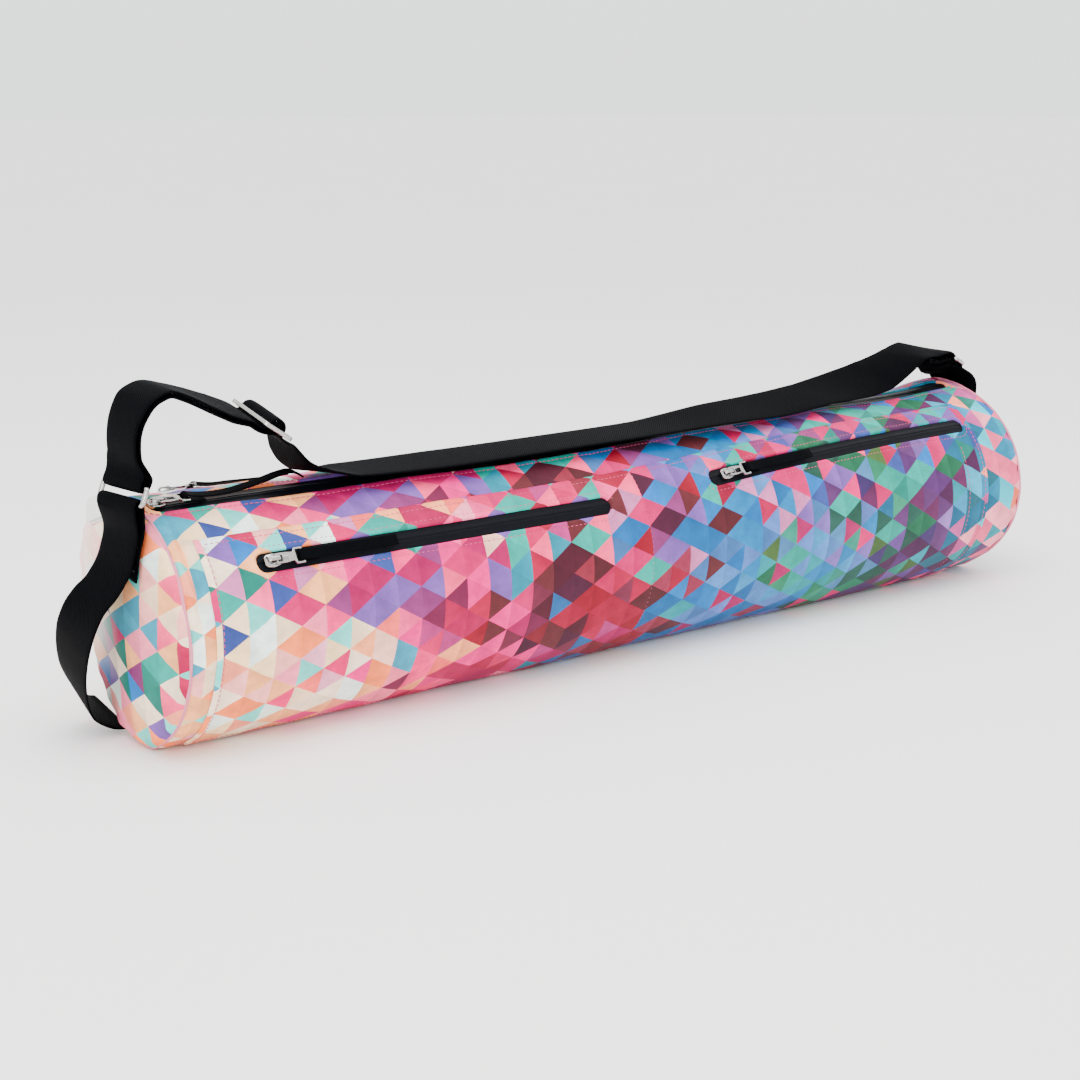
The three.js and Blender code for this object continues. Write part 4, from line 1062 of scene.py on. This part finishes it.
def label_row(share, off):
    """A row of the label at a share of the end's radius, off its face."""
    turn, radius = math.radians(label_angle), share * body_radius
    y, z = -radius * math.sin(turn), axis_height + radius * math.cos(turn)
    return np.array([end_face(-1, y, z) - off, y, z]), tilted(label_angle)


label_rows = [label_row(*row) for row in label_table]
label_course = make_webbing("care_label_tape", label_rows, label_width, label_thick, 5, label_satin,
                            ["care_label"])

# %% [markdown]
# ## Pulls
# Each zip's tab carries a doubled ribbon. It goes round the tab's end bar, lies on the
# tape and ends in a cut edge. On the main zip it bows up before its end.

# %% Pulls
slider_length, slider_plate, bridge_wall, bridge_room = 10.5, 2.0, 1.1, 2.1
tab_thick, tab_bar, tab_length, tab_end_bar, tab_play = 1.4, 1.4, 17.6, 1.6, 0.6
pull_width, pull_thick, pull_play, pull_tuck = 6.6, 1.0, 0.3, 10.0
coil_height, seat_gap = 0.6, 0.3
bridge_reach = 0.76 * slider_length / 2
tape_tops = {"main": -0.5, "back": -0.5, "left": 1.2, "right": 1.2}
slider_in = {"main": 6.0, "left": 9.5, "right": 14.5, "back": 10.0}
resting = [(0.35, 0.9), (0.65, 0.5), (1, 0.3)]
bowed = [(0.35, 0.12), (0.6, 0.5), (0.8, 0.95), (0.9, 1), (1, 0.55)]


def pull_rows(key, length, bow, table):
    zip_ = zips[key]
    at = zip_["left"] + slider_in[key]
    seat = tape_tops[key] + coil_height + seat_gap
    start = bridge_reach - bridge_wall - tab_play - tab_bar
    end, height = start + tab_length - tab_end_bar / 2, slider_plate + bridge_room / 2
    turn = math.hypot(tab_end_bar, tab_thick) / 2 + pull_play + pull_thick / 2
    rest = pull_thick * 0.5
    second = rest + pull_thick + pull_play * 2
    rows = [
        (end + turn + pull_tuck, rest), (end + turn + pull_tuck * 0.5, rest + 0.1),
        (end + turn * 0.9, max(height - turn, rest) + 0.05), (end, height - turn),
        (end - turn * 0.7, height - turn * 0.7), (end - turn, height),
        (end - turn * 0.7, height + turn * 0.7), (end, height + turn),
        (end + turn * 1.4, height + turn * 0.7), (end + turn + pull_tuck, max(second, height)),
    ] + [(end + along * length, second + rise * bow) for along, rise in table]
    result = []
    for along, up in rows:
        angle = zip_["angle"] + twist_at(at + along)
        centre = bag_point(np.array([at + along]), np.array([angle]), np.array([seat + up]))[0]
        result.append((centre, tilted(angle)))
    return result


for key in zips:
    rows = pull_rows(key, 74, 8, bowed) if key == "main" else pull_rows(key, 64, pull_thick, resting)
    make_webbing(f"pull_ribbon_{key}", rows, pull_width, pull_thick, 4, ribbon_grosgrain, [f"pull_{key}"])

# %% [markdown]
# ## Metal pieces
# The solids of the rings, the adjuster, the sliders and the tabs have the right shapes. A
# bevel breaks their edges as casting and polishing do, and the rings' wire is smoothed.

# %% Metal
def dress_metal(name, bevel=0.0, rounds=0):
    node = nodes[name]
    for place in range(max(1, len(node.material_slots))):
        if node.material_slots:
            node.material_slots[place].material = bright_nickel
        else:
            node.data.materials.append(bright_nickel)
    node.data.polygons.foreach_set("use_smooth", [True] * len(node.data.polygons))
    weld = node.modifiers.new("weld", "WELD")
    weld.merge_threshold = 0.00002
    if bevel:
        edge = node.modifiers.new("bevel", "BEVEL")
        edge.width = bevel / 1000
        edge.segments = 3
        edge.limit_method = "ANGLE"
        edge.angle_limit = math.radians(28)
        edge.harden_normals = True
    if rounds:
        soft = node.modifiers.new("soft", "SUBSURF")
        soft.levels = soft.render_levels = rounds


for key in zips:
    dress_metal(f"slider_{key}", bevel=0.45)
    dress_metal(f"tab_{key}", bevel=0.35)
dress_metal("strap_adjuster", bevel=0.6)
dress_metal("ring_left", rounds=2)
dress_metal("ring_right", rounds=2)
print("metal nodes:", 2 * len(zips) + 3)

# %% [markdown]
# ## Stitching
# A lockstitch shows as a row of short raised beads that dip into the cloth at both ends.
# Each bead here is a small tapered capsule. Rows are laid at equal lengths along a line on
# the cloth or on the webbing.

# %% Stitches
# Each stitch is given by its pitch, its length and its thread's radius.
print_stitch, web_stitch = (3.4, 2.5, 0.27), (3.0, 2.2, 0.26)


def make_stitches(name, rows, pitch, length, radius, material, slot):
    """Stitches along rows, each a line of points with the way up from the cloth at each one."""
    rings = [(-0.5, 0.25, -0.7), (-0.36, 0.85, 0.1), (0.0, 1.0, 0.5), (0.36, 0.85, 0.1), (0.5, 0.25, -0.7)]
    turn = np.linspace(0, 2 * np.pi, 7)[:-1]
    points, faces = [], []
    for line, up in rows:
        run = run_along(line)
        for s in np.arange(pitch * 0.6, run[-1] - pitch * 0.4, pitch):
            start, end = value_at(s - length / 2, run, line), value_at(s + length / 2, run, line)
            middle, along = (start + end) / 2, unit(end - start)
            high = value_at(s, run, up)
            high = unit(high - along * high.dot(along))
            side = np.cross(along, high)
            first = len(points)
            for place, size, lift in rings:
                centre = middle + along * place * length + high * lift * radius
                for t in turn:
                    points.append(centre + (side * math.cos(t) + high * math.sin(t)) * radius * size)
            faces += grid_faces(len(rings), 6, ring_columns=True, offset=first)
            faces.append(tuple(range(first + 5, first - 1, -1)))
            faces.append(tuple(range(first + 24, first + 30)))
    make_piece(name, points, faces, material)
    print(name, "stitches:", len(points) // 30)


def cloth_line(x, flat_angle, lift_of):
    """A line on the cloth and its way up, from places along it and angles before the twist."""
    x, flat_angle = np.broadcast_arrays(np.asarray(x, float), np.asarray(flat_angle, float))
    angle = flat_angle + twist_at(x)
    lift = lift_of(x, flat_angle)
    line = bag_point(x, angle, lift)
    return line, bag_point(x, angle, lift + 1.0) - line


def on_body(x, flat_angle):
    return cloth_waves(x, flat_angle + twist_at(x)) - 0.05


def on_panel(x, flat_angle):
    return on_body(x, flat_angle) + patch_lift


def beside_window(zip_, out):
    """A closed line round a window, at a distance from its outline."""
    reach = zip_["width"] / 2
    turn = np.linspace(90, 270, 19)
    ends = [(zip_["left"] + reach, turn), (zip_["right"] - reach, turn + 180)]
    x, across = [], []
    for middle, turns in ends:
        x += list(middle + (reach + out) * np.cos(np.radians(turns)))
        across += list((reach + out) * np.sin(np.radians(turns)))
    corners = np.array([x + x[:1], across + across[:1]])
    run = run_along(corners.T)
    even = np.linspace(0, run[-1], int(run[-1] / 1.5))
    x, across = np.interp(even, run, corners[0]), np.interp(even, run, corners[1])
    return x, zip_["angle"] - np.degrees(across / body_radius)


edge_x = np.linspace(patch_left + stitch_in, patch_right - stitch_in, 500)
stitch_angle = math.degrees(stitch_in / body_radius)
panel_rows = [
    cloth_line(edge_x, patch_edge(edge_x)[0] + stitch_angle, on_panel),
    cloth_line(edge_x, patch_edge(edge_x)[1] - stitch_angle, on_panel),
]
for x in (patch_left + stitch_in, patch_right - stitch_in, divider_x, sewn_end_x):
    upper_edge, lower_edge = patch_edge(x)
    first = 70 if x == sewn_end_x else upper_edge + 4
    panel_rows.append(cloth_line(x, np.linspace(first, lower_edge - 4, 120), on_panel))
panel_rows += [cloth_line(*beside_window(zips[key], window_stitch), on_panel) for key in ("left", "right")]
body_stitch_rows = [cloth_line(*beside_window(zips[key], window_stitch), on_body) for key in ("main", "back")]
make_stitches("stitching_panel", panel_rows, *print_stitch, pink_thread, "print")
make_stitches("stitching_body", body_stitch_rows, *print_stitch, pink_thread, "print")


def sewn_across(name, course, places, width, thick, material):
    """Rows of stitches across both faces of webbing, at lengths along it."""
    centres, side, up, run = course
    share = np.linspace(-0.46, 0.46, 40)[:, None]
    rows = []
    for place in places:
        at, across, high = (value_at(place, run, field) for field in (centres, side, up))
        for face in (1, -1):
            line = at + across * share * width + high * face * (thick / 2 - 0.05)
            rows.append((line, np.repeat((high * face)[None, :], 40, axis=0)))
    make_stitches(name, rows, *web_stitch, material, "webbing")


strap_run = strap_course[3][-1]
# White thread across the strap's tail stands in for a glint of light there: a painted highlight on the black
# webbing.
sewn_across("stitching_strap_tail_glint", strap_course, [strap_run - 4.0], web_width, web_thick, white_thread)
doubled = [strap_run - 12.0, 5.0, 13.0]
sewn_across("stitching_strap", strap_course, doubled, web_width, web_thick, black_thread)
sewn_across("stitching_handles", left_course, [6.0, 20.0], web_width, web_thick, black_thread)
sewn_across("stitching_label", label_course, [3.0], label_width, label_thick, white_thread)

# %% [markdown]
# ## Floor and light
# The bag lies on a pale floor in soft studio light: one large soft box overhead, one in
# front to the left for the near end, and a pale surround that fills the shadows.

# %% Floor
def matt_paint(name, colour, light):
    """Matt paint that is very slightly uneven."""
    material, add = new_material(name)
    where = add("TexCoord").outputs["Object"]
    speckle = add("TexNoise", {"Scale": 3.0, "Detail": 2.0, "Vector": where})
    finish_material(add, {
        "Roughness": 0.85, "Specular IOR Level": 0.2,
        "Base Color": add("Mix", {"data_type": "RGBA", 0: speckle, 1: linear(colour), 2: linear(light)}),
    })
    return material


floor_reach = 40.0
corners = [(-1, -1), (1, -1), (1, 1), (-1, 1)]
floor_mesh = bpy.data.meshes.new("floor")
floor_mesh.from_pydata([(x * floor_reach, y * floor_reach, 0) for x, y in corners], [], [(0, 1, 2, 3)])
floor_mesh.materials.append(matt_paint("floor_paint", "#f3f3f2", "#f8f8f7"))
floor = bpy.data.objects.new("floor", floor_mesh)
scene.collection.objects.link(floor)
print("floor:", 2 * floor_reach, "m across")

# %% Lights
world = bpy.data.worlds.new("studio")
scene.world = world
world.use_nodes = True
world.node_tree.nodes.clear()
add = partial(add_node, world.node_tree)
way = add("TexCoord").outputs["Generated"]
height = add("SeparateXYZ", {0: way}).outputs["Z"]
share = add("MapRange", {"Value": height, "From Max": 0.55})
pale = add("Mix", {"data_type": "RGBA", 0: share, 1: linear("#eef0f3"), 2: linear("#ffffff")})
surround = add("Background", {"Strength": 2.3, "Color": pale})
add("OutputWorld", {"Surface": surround})


def soft_box(name, place, target, size, power, colour):
    light = bpy.data.lights.new(name, "AREA")
    light.shape = "RECTANGLE"
    light.size, light.size_y = size
    light.energy = power
    light.color = linear(colour)[:3]
    lamp = bpy.data.objects.new(name, light)
    scene.collection.objects.link(lamp)
    lamp.location = place
    lamp.rotation_euler = (Vector(place) - Vector(target)).to_track_quat("Z", "Y").to_euler()
    return lamp


soft_box("top_box", (-0.3, -0.4, 1.7), (0, 0, 0.07), (1.6, 1.2), 34, "#ffffff")
soft_box("front_box", (-1.6, -1.3, 0.9), (-0.1, 0, 0.07), (1.0, 1.0), 18, "#fffdf9")

# %% Update
bpy.context.view_layer.update()
